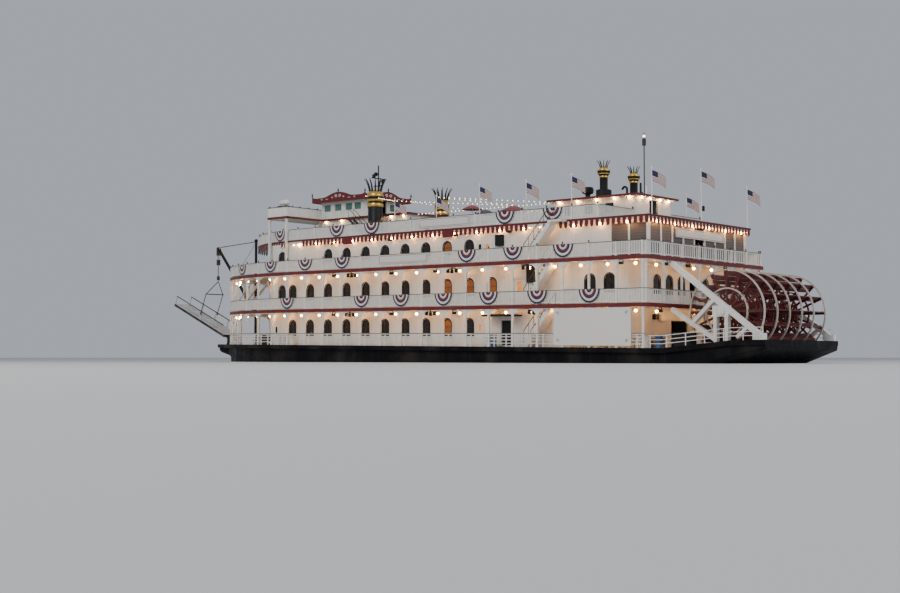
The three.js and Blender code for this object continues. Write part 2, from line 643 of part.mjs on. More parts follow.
// Name boards, left bare, and the shelters over the side doors
[['port', -1], ['starboard', 1]].forEach(([side, sign]) => {
  const face = HALF - RAIL_INSET + RAIL_DEPTH / 2 + GAP;
  const [y0, y1] = [Math.min(sign * face, sign * (face + 0.08)), Math.max(sign * face, sign * (face + 0.08))];
  add(`board_${side}`, box(-8.3, -1.3, y0, y1, MAIN_TOP + 0.15, DECK_2_TOP - SLAB - 0.05), WHITE);
  const wall = CABIN_HALF + GAP;
  const [c0, c1] = [Math.min(sign * wall, sign * 8.2), Math.max(sign * wall, sign * 8.2)];
  add(`door_shelter_${side}`, box(-15.8, -12.6, c0, c1, 3.5, 3.65), BLACK);
});

// Stern truss on each side, with the bearing of the wheel
const TRUSS_FOOT = 1.45;
const truss = (sign) => {
  const middle = (sign * (TRUSS_INNER + TRUSS_OUTER)) / 2;
  const depth = TRUSS_OUTER - TRUSS_INNER;
  const hub = wheelHeight;
  const deckAt = (x) => MAIN_TOP + ((1.68 - MAIN_TOP) * (x - 1.2)) / (5.6 - 1.2);
  const aftDeckAt = (x) => 1.68 + ((1.75 - 1.68) * (x - 5.6)) / (7.7 - 5.6);
  const members = [
    [[0.12, 7.3], [7.35, 1.95], 0.36],
    [[0.12, 3.95], [3.7, TRUSS_FOOT + 0.3], 0.3],
    [[1.9, 2.95], [3.65, 4.6], 0.26],
    [[5.45, 1.9], [6.25, 2.6], 0.22],
    [[3.75, 1.3], [3.75, hub], 0.26],
    [[4.65, 1.4], [4.65, hub], 0.26],
  ];
  const pieces = members.map(([[x0, z0], [x1, z1], width]) => (
    bar([x0, middle, z0], [x1, middle, z1], width, depth)
  ));
  pieces.push(box(3.55, 4.85, middle - depth / 2, middle + depth / 2, hub - 0.4, hub + 0.4));
  pieces.push(box(6.7, 7.6, middle - depth / 2, middle + depth / 2, 1.6, 2.2));
  const bore = boreY(WHEEL_STATION, hub, SHAFT_RADIUS + SHAFT_PLAY, middle - 1, middle + 1);
  const below = sideways(outline([
    [-2, MAIN_TOP + GAP], [1.2, MAIN_TOP + GAP], [5.6, 1.68 + GAP], [7.7, 1.75 + GAP],
    [9, 1.8], [9, 0], [-2, 0],
  ]), middle - 1, middle + 1);
  const deckEnd = box(-2, DECK_AFT + GAP, middle - 1, middle + 1, 0, 12);
  return cut(join(pieces), [bore, below, deckEnd]);
};
add('stern_truss_port', truss(-1), WHITE);
add('stern_truss_starboard', truss(1), WHITE);

// Paddle wheel about its own shaft: flat frames of arms and two rims, and the buckets across them
const FRAME_DEPTH = 0.14;
const ARM_WIDTH = 0.15;
const RIM = 0.16;
const HUB_RADIUS = 0.45;
const ARM_ANGLE = (2 * Math.PI) / WHEEL_ARMS;

// The clear space between two arms, from one radius to another
const bay = (arm, inner, outer) => {
  const middle = (arm + 0.5) * ARM_ANGLE;
  const edge = (radius) => ARM_ANGLE / 2 - Math.asin(ARM_WIDTH / 2 / radius);
  const at = (radius, angle) => [radius * Math.cos(angle), radius * Math.sin(angle)];
  return outline([
    at(inner, middle - edge(inner)), at(outer, middle - edge(outer)),
    at(outer, middle + edge(outer)), at(inner, middle + edge(inner)),
  ]);
};
const bays = [];
for (let arm = 0; arm < WHEEL_ARMS; arm += 1) {
  bays.push(bay(arm, HUB_RADIUS, WHEEL_INNER - RIM), bay(arm, WHEEL_INNER, WHEEL_RADIUS - RIM));
}
const wheelDisc = (y) => pinY(0, 0, WHEEL_RADIUS, y - FRAME_DEPTH / 2, y + FRAME_DEPTH / 2, 2 * WHEEL_ARMS);
const armedFrame = (y) => cut(wheelDisc(y), bays.map((shape) => sideways(shape, y - 1, y + 1)));
const openRim = (y) => cut(wheelDisc(y), [pinY(0, 0, WHEEL_RADIUS - RIM, y - 1, y + 1, WHEEL_ARMS)]);
const FRAME_PITCH = (2 * WHEEL_HALF) / (WHEEL_FRAMES - 1);
const BUCKET_DEPTH = 0.62;
const BUCKET_THICK = 0.07;
const wheelPieces = [pinY(0, 0, SHAFT_RADIUS, -TRUSS_OUTER, TRUSS_OUTER, 16)];
for (let frame = 0; frame < WHEEL_FRAMES; frame += 1) {
  const y = -WHEEL_HALF + frame * FRAME_PITCH;
  const outer = frame === 0 || frame === WHEEL_FRAMES - 1;
  wheelPieces.push(outer ? armedFrame(y) : openRim(y));
}
for (let arm = 0; arm < WHEEL_ARMS; arm += 1) {
  const tip = WHEEL_RADIUS - 0.03;
  const end = WHEEL_HALF + FRAME_DEPTH;
  const bucket = box(tip - BUCKET_DEPTH, tip, -end, end, -BUCKET_THICK / 2, BUCKET_THICK / 2);
  wheelPieces.push(bucket.rotateY(arm * ARM_ANGLE));
}
addAt('paddle_wheel', join(wheelPieces), WHEEL_RED, WHEEL_STATION, 0, WHEEL_HEIGHT);

// Kingpost with the fork that carries the boom
const PIN_RADIUS = 0.05;
const FORK_INNER = 0.12;
const forkHeight = BOOM_HEEL_HEIGHT + SHEER * BOOM_HEEL_STATION;
const postTop = KINGPOST_TOP + SHEER * KINGPOST_STATION;
const forkCheek = (side) => {
  const [y0, y1] = side < 0 ? [-FORK_INNER - 0.06, -FORK_INNER] : [FORK_INNER, FORK_INNER + 0.06];
  return box(BOOM_HEEL_STATION - 0.12, KINGPOST_STATION, y0, y1, forkHeight - 0.15, forkHeight + 0.15);
};
add('kingpost', join([
  bar(
    [KINGPOST_STATION, 0, MAIN_TOP + GAP],
    [KINGPOST_STATION, 0, postTop],
    2 * KINGPOST_RADIUS,
    0,
    KINGPOST_SIDES,
  ),
  new THREE.SphereGeometry(0.2, 8, 6).translate(KINGPOST_STATION, 0, postTop),
  forkCheek(-1),
  forkCheek(1),
  pinY(BOOM_HEEL_STATION, forkHeight, PIN_RADIUS, -FORK_INNER - 0.03, FORK_INNER + 0.03),
]), BLACK);

// Boom about its heel pin, along -X before it is turned up
const boomReach = BOOM_HEEL_STATION - BOOM_TIP_STATION;
const boomRise = BOOM_TIP_HEIGHT - BOOM_HEEL_HEIGHT;
const boomLength = Math.hypot(boomReach, boomRise);
const boomAngle = Math.atan2(boomRise, boomReach);
const EYE_RADIUS = 0.11;
const EYE_HALF = 0.06;
const tipCheek = (side) => {
  const [y0, y1] = side < 0 ? [-0.15, -EYE_HALF - PLAY] : [EYE_HALF + PLAY, 0.15];
  return box(-boomLength - 0.12, -boomLength + 0.34, y0, y1, -0.12, 0.12);
};
const boom = cut(join([
  box(-boomLength + 0.24, 0.1, -FORK_INNER + PLAY, FORK_INNER - PLAY, -0.1, 0.1),
  tipCheek(-1),
  tipCheek(1),
  pinY(-boomLength, 0, PIN_RADIUS, -0.1, 0.1),
]), [boreY(0, 0, PIN_RADIUS + PLAY, -1, 1)]);
addAt('boom', boom, BLACK, BOOM_HEEL_STATION, 0, BOOM_HEEL_HEIGHT, boomAngle);

// Hoist fall from the pin at the boom tip, and the hook block at its lower end
const HOOK_TOP = 9.2;
const HOOK_LOW = 8.75;
const fall = cut(join([
  pinY(0, 0, EYE_RADIUS, -EYE_HALF, EYE_HALF),
  bar([0, 0, HOOK_TOP + GAP - BOOM_TIP_HEIGHT], [0, 0, -PIN_RADIUS - 0.03], 0.06, 0.06),
]), [boreY(0, 0, PIN_RADIUS + PLAY, -1, 1)]);
addAt('hoist_fall', fall, STEEL, BOOM_TIP_STATION, 0, BOOM_TIP_HEIGHT);
const block = box(-0.14, 0.14, -0.09, 0.09, HOOK_LOW - HOOK_TOP, 0);
addAt('hook_block', block, STEEL, BOOM_TIP_STATION, 0, HOOK_TOP);

// Landing stage about its heel pin, along -X before it is raised
const STAGE_DEPTH = 0.28;
const STAGE_POST_PITCH = 2.4;
const BRIDLE_REACH = 4.9;
const BRIDLE_RISE = 0.95;
const stagePieces = [
  box(-STAGE_LENGTH, -0.35, -STAGE_HALF, STAGE_HALF, 0, STAGE_DEPTH),
  ...[-1, 1].map((side) => box(-0.5, 0.14, side * 0.45 - 0.07, side * 0.45 + 0.07, -0.1, 0.2)),
];
[-1, 1].forEach((side) => {
  const y = side * (STAGE_HALF - 0.05);
  stagePieces.push(bar([-STAGE_LENGTH + 0.05, y, 1.15], [-0.9, y, 1.15], 0.08));
  for (let x = -STAGE_LENGTH + 0.1; x < -0.5; x += STAGE_POST_PITCH) {
    stagePieces.push(box(x - 0.05, x + 0.05, y - 0.05, y + 0.05, 0.1, 1.19));
  }
  const pinFrom = Math.min(y, side * (STAGE_HALF + 0.2));
  const pinTo = Math.max(y, side * (STAGE_HALF + 0.2));
  stagePieces.push(box(-BRIDLE_REACH - 0.06, -BRIDLE_REACH + 0.06, y - 0.05, y + 0.05, 0.1, 1.1));
  stagePieces.push(pinY(-BRIDLE_REACH, BRIDLE_RISE, PIN_RADIUS, pinFrom, pinTo));
});
const HEEL_PIN = 0.07;
const stage = cut(join(stagePieces), [boreY(0, 0, HEEL_PIN + PLAY, -1, 1)]);
addAt('landing_stage', stage, BLACK, HEEL_STATION, 0, HEEL_HEIGHT, STAGE_LIFT);

// Saddle on the bow that carries the heel of the stage
const heelLow = HEEL_HEIGHT + SHEER * HEEL_STATION;
const [saddleFore, saddleAft] = [HEEL_STATION - 0.1, HEEL_STATION + 0.4];
const saddlePieces = [box(saddleFore, saddleAft + 0.3, -0.75, 0.75, MAIN_TOP + GAP, MAIN_TOP + 0.15)];
[-1, 1].forEach((side) => {
  const y = side * 0.62;
  saddlePieces.push(box(saddleFore, saddleAft, y - 0.06, y + 0.06, MAIN_TOP + 0.1, heelLow + 0.12));
});
saddlePieces.push(pinY(HEEL_STATION, heelLow, HEEL_PIN, -0.66, 0.66));
add('stage_saddle', join(saddlePieces), BLACK);

// Bridle: an upright frame on the stage's side pins, with a spreader and a ring
const bridleStation = HEEL_STATION - BRIDLE_REACH * Math.cos(STAGE_LIFT) + BRIDLE_RISE * Math.sin(STAGE_LIFT);
const bridleHeight = HEEL_HEIGHT + BRIDLE_REACH * Math.sin(STAGE_LIFT) + BRIDLE_RISE * Math.cos(STAGE_LIFT);
const OPEN_PIVOT = 0.12;
const bridleTop = HOOK_LOW - OPEN_PIVOT - bridleHeight;
const bridleLean = BOOM_TIP_STATION - bridleStation;
const spreaderRise = 7.25 - bridleHeight;
const spreaderLean = bridleLean * 0.6;
const bridlePieces = [];
[-1, 1].forEach((side) => {
  const y = side * (STAGE_HALF + 0.12);
  bridlePieces.push(pinY(0, 0, 0.12, y - 0.04, y + 0.04, 12));
  bridlePieces.push(bar([0, y, 0.05], [spreaderLean, y, spreaderRise], 0.06));
  bridlePieces.push(bar([spreaderLean, y, spreaderRise], [bridleLean, 0, bridleTop], 0.06));
});
bridlePieces.push(bar([spreaderLean, -1.2, spreaderRise], [spreaderLean, 1.2, spreaderRise], 0.1));
const eyes = [-1, 1].map((side) => {
  const y = side * (STAGE_HALF + 0.12);
  return boreY(0, 0, PIN_RADIUS + PLAY, y - 0.2, y + 0.2);
});
addAt('stage_bridle', cut(join(bridlePieces), eyes), STEEL, bridleStation, 0, bridleHeight);

export default boat;
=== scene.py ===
# %% [markdown]
# # A stern-wheel paddle steamer
#
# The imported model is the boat's frame, with real sizes. This lesson paints its plain parts,
# replaces the rails and the wheel with finer ones, and adds windows, lamps, bunting and rigging.

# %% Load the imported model
import math

import bmesh
import bpy
import numpy as np
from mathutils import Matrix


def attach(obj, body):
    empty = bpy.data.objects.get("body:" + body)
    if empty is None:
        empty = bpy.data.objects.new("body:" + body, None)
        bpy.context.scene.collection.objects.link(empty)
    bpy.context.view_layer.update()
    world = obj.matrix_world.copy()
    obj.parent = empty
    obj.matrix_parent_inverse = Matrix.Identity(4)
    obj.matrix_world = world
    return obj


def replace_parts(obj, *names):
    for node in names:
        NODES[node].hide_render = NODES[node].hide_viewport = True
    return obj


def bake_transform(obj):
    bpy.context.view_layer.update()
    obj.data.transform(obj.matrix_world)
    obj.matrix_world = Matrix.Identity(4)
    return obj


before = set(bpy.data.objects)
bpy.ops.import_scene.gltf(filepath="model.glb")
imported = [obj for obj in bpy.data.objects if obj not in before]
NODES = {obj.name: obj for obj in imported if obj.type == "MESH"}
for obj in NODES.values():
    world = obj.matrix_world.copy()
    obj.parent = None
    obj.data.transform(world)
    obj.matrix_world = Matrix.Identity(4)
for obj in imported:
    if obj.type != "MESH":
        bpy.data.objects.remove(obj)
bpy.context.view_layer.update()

# %% [markdown]
# ## Sizes on board
#
# It is easiest to think in metres on the full-size boat: a station counts metres aft of the
# cabin decks' after corner, y runs to starboard, and heights start at the waterline. The decks
# rise towards the bow, so a piece that belongs to them is leaned by the same amount.

# %% From the boat's metres to the model's
SCALE, MIDSHIP, DRAFT, SHEER = 0.5, 24.75, 1.9, 0.0122


def level(points):
    """Row-frame metres of points with true heights: shift to midships and the keel, then halve."""
    return (np.asarray(points, float) + [MIDSHIP, 0.0, DRAFT]) * SCALE


def aboard(points):
    """Row-frame metres of points that follow the decks: height less sheer times station."""
    points = np.array(points, float)
    points[..., 2] -= SHEER * points[..., 0]
    return level(points)


WATERLINE = DRAFT * SCALE
print("waterline at", WATERLINE, "m")

# %% [markdown]
# ## Camera, floor and light
#
# The camera stands off the port quarter, low over the water. Its lens and turn come from matching
# deck corners and windows. A pale floor lies where the water would be.

# %% Camera
CAMERA_PLACE = (37.68, -42.35, 1.173)
CAMERA_TURN, CAMERA_RISE = math.radians(42.37), math.radians(2.731)
LENS, FAR = 50.9, 2000.0
collection = bpy.context.scene.collection
camera = bpy.data.objects.new("view", bpy.data.cameras.new("view"))
camera.data.lens = LENS
camera.data.sensor_width = 36.0
camera.data.clip_end = FAR
camera.location = CAMERA_PLACE
camera.rotation_euler = (math.pi / 2 + CAMERA_RISE, 0.0, CAMERA_TURN)
collection.objects.link(camera)
bpy.context.scene.camera = camera
print("camera at", CAMERA_PLACE)

# %% Soft light
world = bpy.data.worlds.new("studio")
world.use_nodes = True
sky = world.node_tree.nodes["Background"].inputs
sky["Color"].default_value = (0.80, 0.86, 0.95, 1.0)
sky["Strength"].default_value = 0.52
bpy.context.scene.world = world
LAMPS = {
    "key": ((10.0, -60.0, 42.0), 34.0, 21000.0, (1.0, 0.96, 0.90)),
    "fill": ((60.0, 10.0, 30.0), 40.0, 12000.0, (0.88, 0.94, 1.0)),
}
LIT_POINT = (0.0, 0.0, 3.0)
for name, (place, size, power, colour) in LAMPS.items():
    lamp = bpy.data.objects.new(name, bpy.data.lights.new(name, "AREA"))
    lamp.data.size, lamp.data.energy, lamp.data.color = size, power, colour
    lamp.location = place
    towards = np.subtract(LIT_POINT, place)
    tilt = math.acos(-towards[2] / np.linalg.norm(towards))
    lamp.rotation_euler = (tilt, 0.0, math.atan2(towards[1], towards[0]) - math.pi / 2)
    collection.objects.link(lamp)
print("two soft lamps and a pale sky")

# %% A pale floor where the water would be
FLOOR_REACH = 400.0
floor_mesh = bpy.data.meshes.new("floor")
corners = FLOOR_REACH * np.array([[-1, -1, 0], [1, -1, 0], [1, 1, 0], [-1, 1, 0]]) + [0.0, 0.0, WATERLINE]
floor_mesh.from_pydata(corners.tolist(), [], [[0, 1, 2, 3]])
floor_paint = bpy.data.materials.new("pale floor")
floor_paint.use_nodes = True
floor_shader = floor_paint.node_tree.nodes["Principled BSDF"].inputs
floor_shader["Base Color"].default_value = (0.62, 0.62, 0.62, 1.0)
floor_shader["Roughness"].default_value = 0.9
floor_mesh.materials.append(floor_paint)
floor = bpy.data.objects.new("floor", floor_mesh)
collection.objects.link(floor)
print("floor at the waterline")

# %% [markdown]
# ## Shapes as arrays
#
# A shape is a pair: points, and a list of face arrays. Small helpers make boxes, bars, rods and
# turned profiles as whole arrays, and one helper repeats a shape at many places at once. Faces may
# point either way here, because each finished piece is turned outwards later.


# %% Copies and grids
def stacked(shapes):
    """Several shapes as one: points one after another, faces counted on from the points before."""
    before = np.cumsum([0] + [len(points) for points, _ in shapes])
    faces = [face + first for (_, group), first in zip(shapes, before) for face in group]
    return np.concatenate([points for points, _ in shapes]), faces


def shifted(faces, copies, count):
    """The faces of a shape of count points for each of its copies, which follow one another."""
    shift = np.arange(copies)[:, None, None] * count
    return [(face[None] + shift).reshape(-1, face.shape[1]) for face in faces]


def repeated(shape, places=(0.0, 0.0, 0.0), turns=0.0, plane=(0, 1)):
    """Copies of a shape: each is turned in a plane of two axes, then moved to its place.

    (a, b) becomes (a cos t - b sin t, a sin t + b cos t). A place may carry its turn as a fourth
    number."""
    points, faces = shape
    places = np.atleast_2d(np.asarray(places, float))
    turns = (places[:, 3:] if places.shape[1] == 4 else np.asarray(turns, float)).reshape(-1, 1)
    cos, sin = np.cos(turns), np.sin(turns)
    copies = np.tile(points, (max(len(places), len(turns)), 1, 1))
    a, b = (points[:, axis] for axis in plane)
    copies[..., plane[0]] = cos * a - sin * b
    copies[..., plane[1]] = sin * a + cos * b
    copies += places[:, None, :3]
    return copies.reshape(-1, 3), shifted(faces, len(copies), len(points))


def mirrored(*shapes, signs=(1, -1, 1)):
    """Shapes and their mirror images: across the boat, y becomes -y."""
    points, faces = stacked(shapes)
    return stacked([(points, faces), (points * signs, faces)])


def grid_faces(rows, columns, wrap_rows=False, wrap_columns=True):
    """Quads between neighbours of a grid of points, closed round where it wraps."""
    i = np.arange(rows if wrap_rows else rows - 1)
    j = np.arange(columns if wrap_columns else columns - 1)
    i, j = (a.ravel() for a in np.meshgrid(i, j, indexing="ij"))
    down, right = (i + 1) % rows, (j + 1) % columns
    return np.stack([i * columns + j, i * columns + right, down * columns + right, down * columns + j], 1)


print("copying helpers ready")

# %% Boxes, bars and turned shapes
BOX_FACES = np.array([[0, 2, 3, 1], [4, 5, 7, 6], [0, 1, 5, 4], [2, 6, 7, 3], [0, 4, 6, 2], [1, 3, 7, 5]])


def box(x0, x1, y0, y1, z0, z1):
    """A box: its eight corners count x fastest and z slowest, with six quads."""
    return np.array([(x, y, z) for z in (z0, z1) for y in (y0, y1) for x in (x0, x1)], float), [BOX_FACES]


def bars(starts, ends, section, far=1.0):
    """Straight bars with a section of (across, up) points, far times as large at their ends.

    Across is level: up x along. Up is along x across."""
    starts, ends = (np.asarray(a, float).reshape(-1, 3) for a in (starts, ends))
    along = ends - starts
    along = along / np.linalg.norm(along, axis=1, keepdims=True)
    across = np.cross(np.where(np.abs(along[:, 2:]) > 0.99, [[0.0, 1.0, 0.0]], [[0.0, 0.0, 1.0]]), along)
    across /= np.linalg.norm(across, axis=1, keepdims=True)
    up = np.cross(along, across)
    ring = across[:, None] * section[:, :1] + up[:, None] * section[:, 1:]
    points = np.stack([starts[:, None] + ring, ends[:, None] + ring * far], 1)
    count = len(section)
    i = np.arange(count)
    wall = grid_faces(2, count)
    return points.reshape(-1, 3), shifted([wall, i[None], i[None] + count], len(starts), 2 * count)


def circle(radius, steps, half_step=0.0):
    """Points round a circle: radius (cos t, sin t)."""
    t = (np.arange(steps) + half_step) * 2 * np.pi / steps
    return radius * np.stack([np.cos(t), np.sin(t)], 1)


def rods(starts, ends, radius, count=8, far_radius=None):
    """Straight rods, which may taper to another radius."""
    return bars(starts, ends, circle(radius, count, 0.5), (far_radius or radius) / radius)


def beams(starts, ends, width, depth):
    """Straight bars of width (level) by depth."""
    return bars(starts, ends, np.array([[-1, -1], [1, -1], [1, 1], [-1, 1]]) / 2 * [width, depth])


def turned(profile, steps):
    """A profile of (radius, height) carried round the vertical: x = r cos t, y = r sin t, z = h."""
    profile = np.asarray(profile, float)
    ring = circle(1.0, steps)
    points = np.stack([profile[:, :1] * ring[:, 0], profile[:, :1] * ring[:, 1],
                       np.broadcast_to(profile[:, 1:], (len(profile), steps))], 2)
    return points.reshape(-1, 3), [grid_faces(len(profile), steps)]


def ball(radius, steps=8, rows=5):
    """A sphere: radius times (cos, sin) of the latitude, turned."""
    latitude = np.linspace(-np.pi / 2, np.pi / 2, rows + 1)
    return turned(np.stack([radius * np.cos(latitude), radius * np.sin(latitude)], 1), steps)


def carried(path, profile):
    """A profile (across, up) carried along a path of points: place = path + across*side + up*z.

    The side is the level direction square to the path, to its right."""
    path, profile = np.asarray(path, float), np.asarray(profile, float)
    ahead = np.roll(path, -1, 0) - np.roll(path, 1, 0)
    ahead[0], ahead[-1] = path[1] - path[0], path[-1] - path[-2]
    ahead /= np.linalg.norm(ahead, axis=1, keepdims=True)
    side = np.stack([ahead[:, 1], -ahead[:, 0], np.zeros(len(path))], 1)
    side /= np.linalg.norm(side, axis=1, keepdims=True)
    up = np.cross(side, ahead)
    points = path[:, None] + side[:, None] * profile[None, :, :1] + up[:, None] * profile[None, :, 1:]
    ring = np.arange(len(profile))[None]
    last = ring + (len(path) - 1) * len(profile)
    return points.reshape(-1, 3), [grid_faces(len(path), len(profile)), ring, last]


def plate(outline, y0, y1):
    """A flat outline of (x, z) points made thick from y0 to y1."""
    count = len(outline)
    points = np.concatenate([np.insert(np.asarray(outline, float), 1, y, 1) for y in (y0, y1)])
    i = np.arange(count)[None]
    return points, [grid_faces(2, count), i, i + count]


def band(inner, outer, y0, y1, closed=True):
    """The flat band between two lines of equal count, made thick from y0 to y1."""
    corners = ((inner, y0), (outer, y0), (outer, y1), (inner, y1))
    points = np.stack([np.insert(np.asarray(line, float), 1, y, 1) for line, y in corners], 1)
    count = len(points)
    caps = [] if closed else [np.arange(4)[None], np.arange(4)[None] + 4 * (count - 1)]
    return points.reshape(-1, 3), [grid_faces(count, 4, closed), *caps]


def upright(width, height, grow):
    """The four corners of an upright rectangle, grown outwards."""
    x = width / 2 + grow
    return [(-x, -grow), (x, -grow), (x, height + grow), (-x, height + grow)]


print("shape helpers ready")

# %% [markdown]
# ## From arrays to pieces
#
# Each finished piece sits at the origin with its place in its mesh. It rides on a body of the
# model, takes its paint as its material, and gets outward faces with doubled points merged.

# %% Piece helper
SMOOTH_ANGLE = math.radians(40)
MERGE_DISTANCE = 1e-5


def piece(name, shape, material, body="root", place=aboard, smooth=False, uv=None):
    """A mesh object from one shape or a list, placed, finished and riding on a body, if it has one."""
    points, faces = stacked(shape) if isinstance(shape, list) else shape
    mesh = bpy.data.meshes.new(name)
    mesh.from_pydata(place(points).tolist(), [], [row for face in faces for row in face.tolist()])
    if uv is not None:
        layer = mesh.uv_layers.new(name="cut")
        corner = np.empty(len(mesh.loops), np.int32)
        mesh.loops.foreach_get("vertex_index", corner)
        layer.data.foreach_set("uv", np.asarray(uv, np.float32)[corner].ravel())
    clean(mesh)
    if smooth:
        mesh.polygons.foreach_set("use_smooth", np.ones(len(mesh.polygons), bool))
        mesh.set_sharp_from_angle(angle=SMOOTH_ANGLE)
    mesh.materials.append(material)
    made = bpy.data.objects.new(name, mesh)
    collection.objects.link(made)
    if body is not None:
        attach(made, body)
    return made


def clean(mesh):
    """Merges points that touch, drops faces without area and turns the rest outwards."""
    work = bmesh.new()
    work.from_mesh(mesh)
    bmesh.ops.remove_doubles(work, verts=work.verts, dist=MERGE_DISTANCE)
    bmesh.ops.dissolve_degenerate(work, edges=work.edges, dist=MERGE_DISTANCE)
    bmesh.ops.recalc_face_normals(work, faces=work.faces)
    work.to_mesh(mesh)
    work.free()


def finish(names, material):
    """Gives CAD nodes a material through their objects' own slots."""
    for name in names.split():
        for place in NODES[name].material_slots:
            place.link = "OBJECT"
            place.material = material


print("piece helpers ready")

# %% [markdown]
# ## Paint, and how weather shows on it
#
# A painted boat is never one flat colour: rain draws streaks down the walls, hands and feet dull
# the rails, and each coat is a little uneven. One node group makes those masks for every paint.


# %% Small node helpers
def put(tree, socket, value):
    """Links a socket to another, or sets its own value; a colour of three numbers is opaque."""
    if isinstance(value, bpy.types.NodeSocket):
        tree.links.new(value, socket)
    elif socket.type == "RGBA" and len(value) == 3:
        socket.default_value = (*value, 1.0)
    else:
        socket.default_value = value


def add_node(tree, kind, **inputs):
    """A node with its named inputs set; a socket as a value is linked instead."""
    made = tree.nodes.new("ShaderNode" + kind)
    for name, value in inputs.items():
        put(tree, made.inputs[name.replace("_", " ")], value)
    return made


def maths(tree, operation, a, b=0.0, clamp=False):
    """One arithmetic step on two values or sockets."""
    made = add_node(tree, "Math")
    made.operation = operation
    made.use_clamp = clamp
    put(tree, made.inputs[0], a)
    put(tree, made.inputs[1], b)
    return made.outputs[0]


def times(tree, a, b):
    """The product of two values or sockets."""
    return maths(tree, "MULTIPLY", a, b)


def ranged(tree, value, low, high, to_low=0.0, to_high=1.0):
    """A smooth step of value from low to high, given out from to_low to to_high."""
    made = tree.nodes.new("ShaderNodeMapRange")
    made.interpolation_type = "SMOOTHSTEP"
    names = ("Value", "From Min", "From Max", "To Min", "To Max")
    for name, number in zip(names, (value, low, high, to_low, to_high)):
        put(tree, made.inputs[name], number)
    return made.outputs["Result"]


def mixed(tree, share, a, b):
    """Colour a turning into colour b as share goes from 0 to 1."""
    made = add_node(tree, "Mix")
    made.data_type = "RGBA"
    for socket, value in ((made.inputs["Factor"], share), (made.inputs[6], a), (made.inputs[7], b)):
        put(tree, socket, value)
    return made.outputs[2]


def noise(tree, vector, scale, detail=3.0):
    """Soft random blotches, 0 to 1."""
    return add_node(tree, "TexNoise", Vector=vector, Scale=scale, Detail=detail).outputs["Fac"]


def parts_of(tree, vector):
    """The X, Y and Z of a vector."""
    return add_node(tree, "SeparateXYZ", Vector=vector).outputs


def new_group(name, inputs, outputs):
    """A node group with its sockets named, its inputs' sockets, and the sockets that it fills."""
    group = bpy.data.node_groups.new(name, "ShaderNodeTree")
    for direction, sockets in (("INPUT", inputs), ("OUTPUT", outputs)):
        for socket in sockets.split():
            kind = "NodeSocketVector" if socket == "Vector" else "NodeSocketFloat"
            group.interface.new_socket(name=socket, in_out=direction, socket_type=kind)
    inside, outside = group.nodes.new("NodeGroupInput"), group.nodes.new("NodeGroupOutput")
    return group, inside.outputs, outside.inputs


print("node helpers ready")

# %% Weather group: rain streaks, blotches and fine unevenness
RAIN_STRETCH = (3.2, 3.2, 0.22)
WEATHER, given, out = new_group("weather", "Vector Streaks Blotches Scale", "Dirt Tone Height")
scaled = add_node(WEATHER, "VectorMath", Vector=given["Vector"])
scaled.operation = "SCALE"
put(WEATHER, scaled.inputs["Scale"], given["Scale"])
fine = scaled.outputs[0]
rain = add_node(WEATHER, "Mapping", Vector=fine, Scale=RAIN_STRETCH).outputs["Vector"]
streaks = times(WEATHER, ranged(WEATHER, noise(WEATHER, rain, 2.6), 0.52, 0.78), given["Streaks"])
blotches = times(WEATHER, ranged(WEATHER, noise(WEATHER, fine, 0.9), 0.42, 0.75), given["Blotches"])
put(WEATHER, out["Dirt"], maths(WEATHER, "ADD", streaks, blotches, clamp=True))
put(WEATHER, out["Tone"], noise(WEATHER, fine, 5.5, 4.0))
put(WEATHER, out["Height"], noise(WEATHER, fine, 60.0, 2.0))
print("weather group:", len(WEATHER.nodes), "nodes")

# %% Boards group: long boards side by side, each a little different
BOARDS, given, out = new_group("boards", "Across Along Pitch Seam", "Seam Board Grain")
count = maths(BOARDS, "DIVIDE", given["Across"], given["Pitch"])
edge = maths(BOARDS, "ABSOLUTE", maths(BOARDS, "SUBTRACT", maths(BOARDS, "FRACT", count), 0.5))
put(BOARDS, out["Seam"], ranged(BOARDS, edge, maths(BOARDS, "SUBTRACT", 0.5, given["Seam"]), 0.5))
number = add_node(BOARDS, "TexWhiteNoise")
number.noise_dimensions = "1D"
put(BOARDS, number.inputs["W"], maths(BOARDS, "FLOOR", count))
put(BOARDS, out["Board"], number.outputs["Value"])
long_grain = {"X": times(BOARDS, given["Along"], 1.5), "Y": times(BOARDS, given["Across"], 40.0)}
put(BOARDS, out["Grain"], noise(BOARDS, add_node(BOARDS, "CombineXYZ", **long_grain).outputs[0], 2.0))
print("boards group:", len(BOARDS.nodes), "nodes")

# %% Weave group: threads over and under
WEAVE, given, out = new_group("weave", "U V Threads", "Tone Height")
waves = [maths(WEAVE, "SINE", times(WEAVE, given[axis], given["Threads"])) for axis in ("U", "V")]
over = times(WEAVE, *waves)
put(WEAVE, out["Height"], ranged(WEAVE, over, -1.0, 1.0))
put(WEAVE, out["Tone"], ranged(WEAVE, over, -1.0, 1.0, 0.9, 1.0))
print("weave group:", len(WEAVE.nodes), "nodes")


# %% A paint is a colour with the weather group over it
def group_node(tree, group, **inputs):
    """One use of a shared group with its own values."""
    made = tree.nodes.new("ShaderNodeGroup")
    made.node_tree = group
    for name, value in inputs.items():
        put(tree, made.inputs[name], value)
    return made.outputs


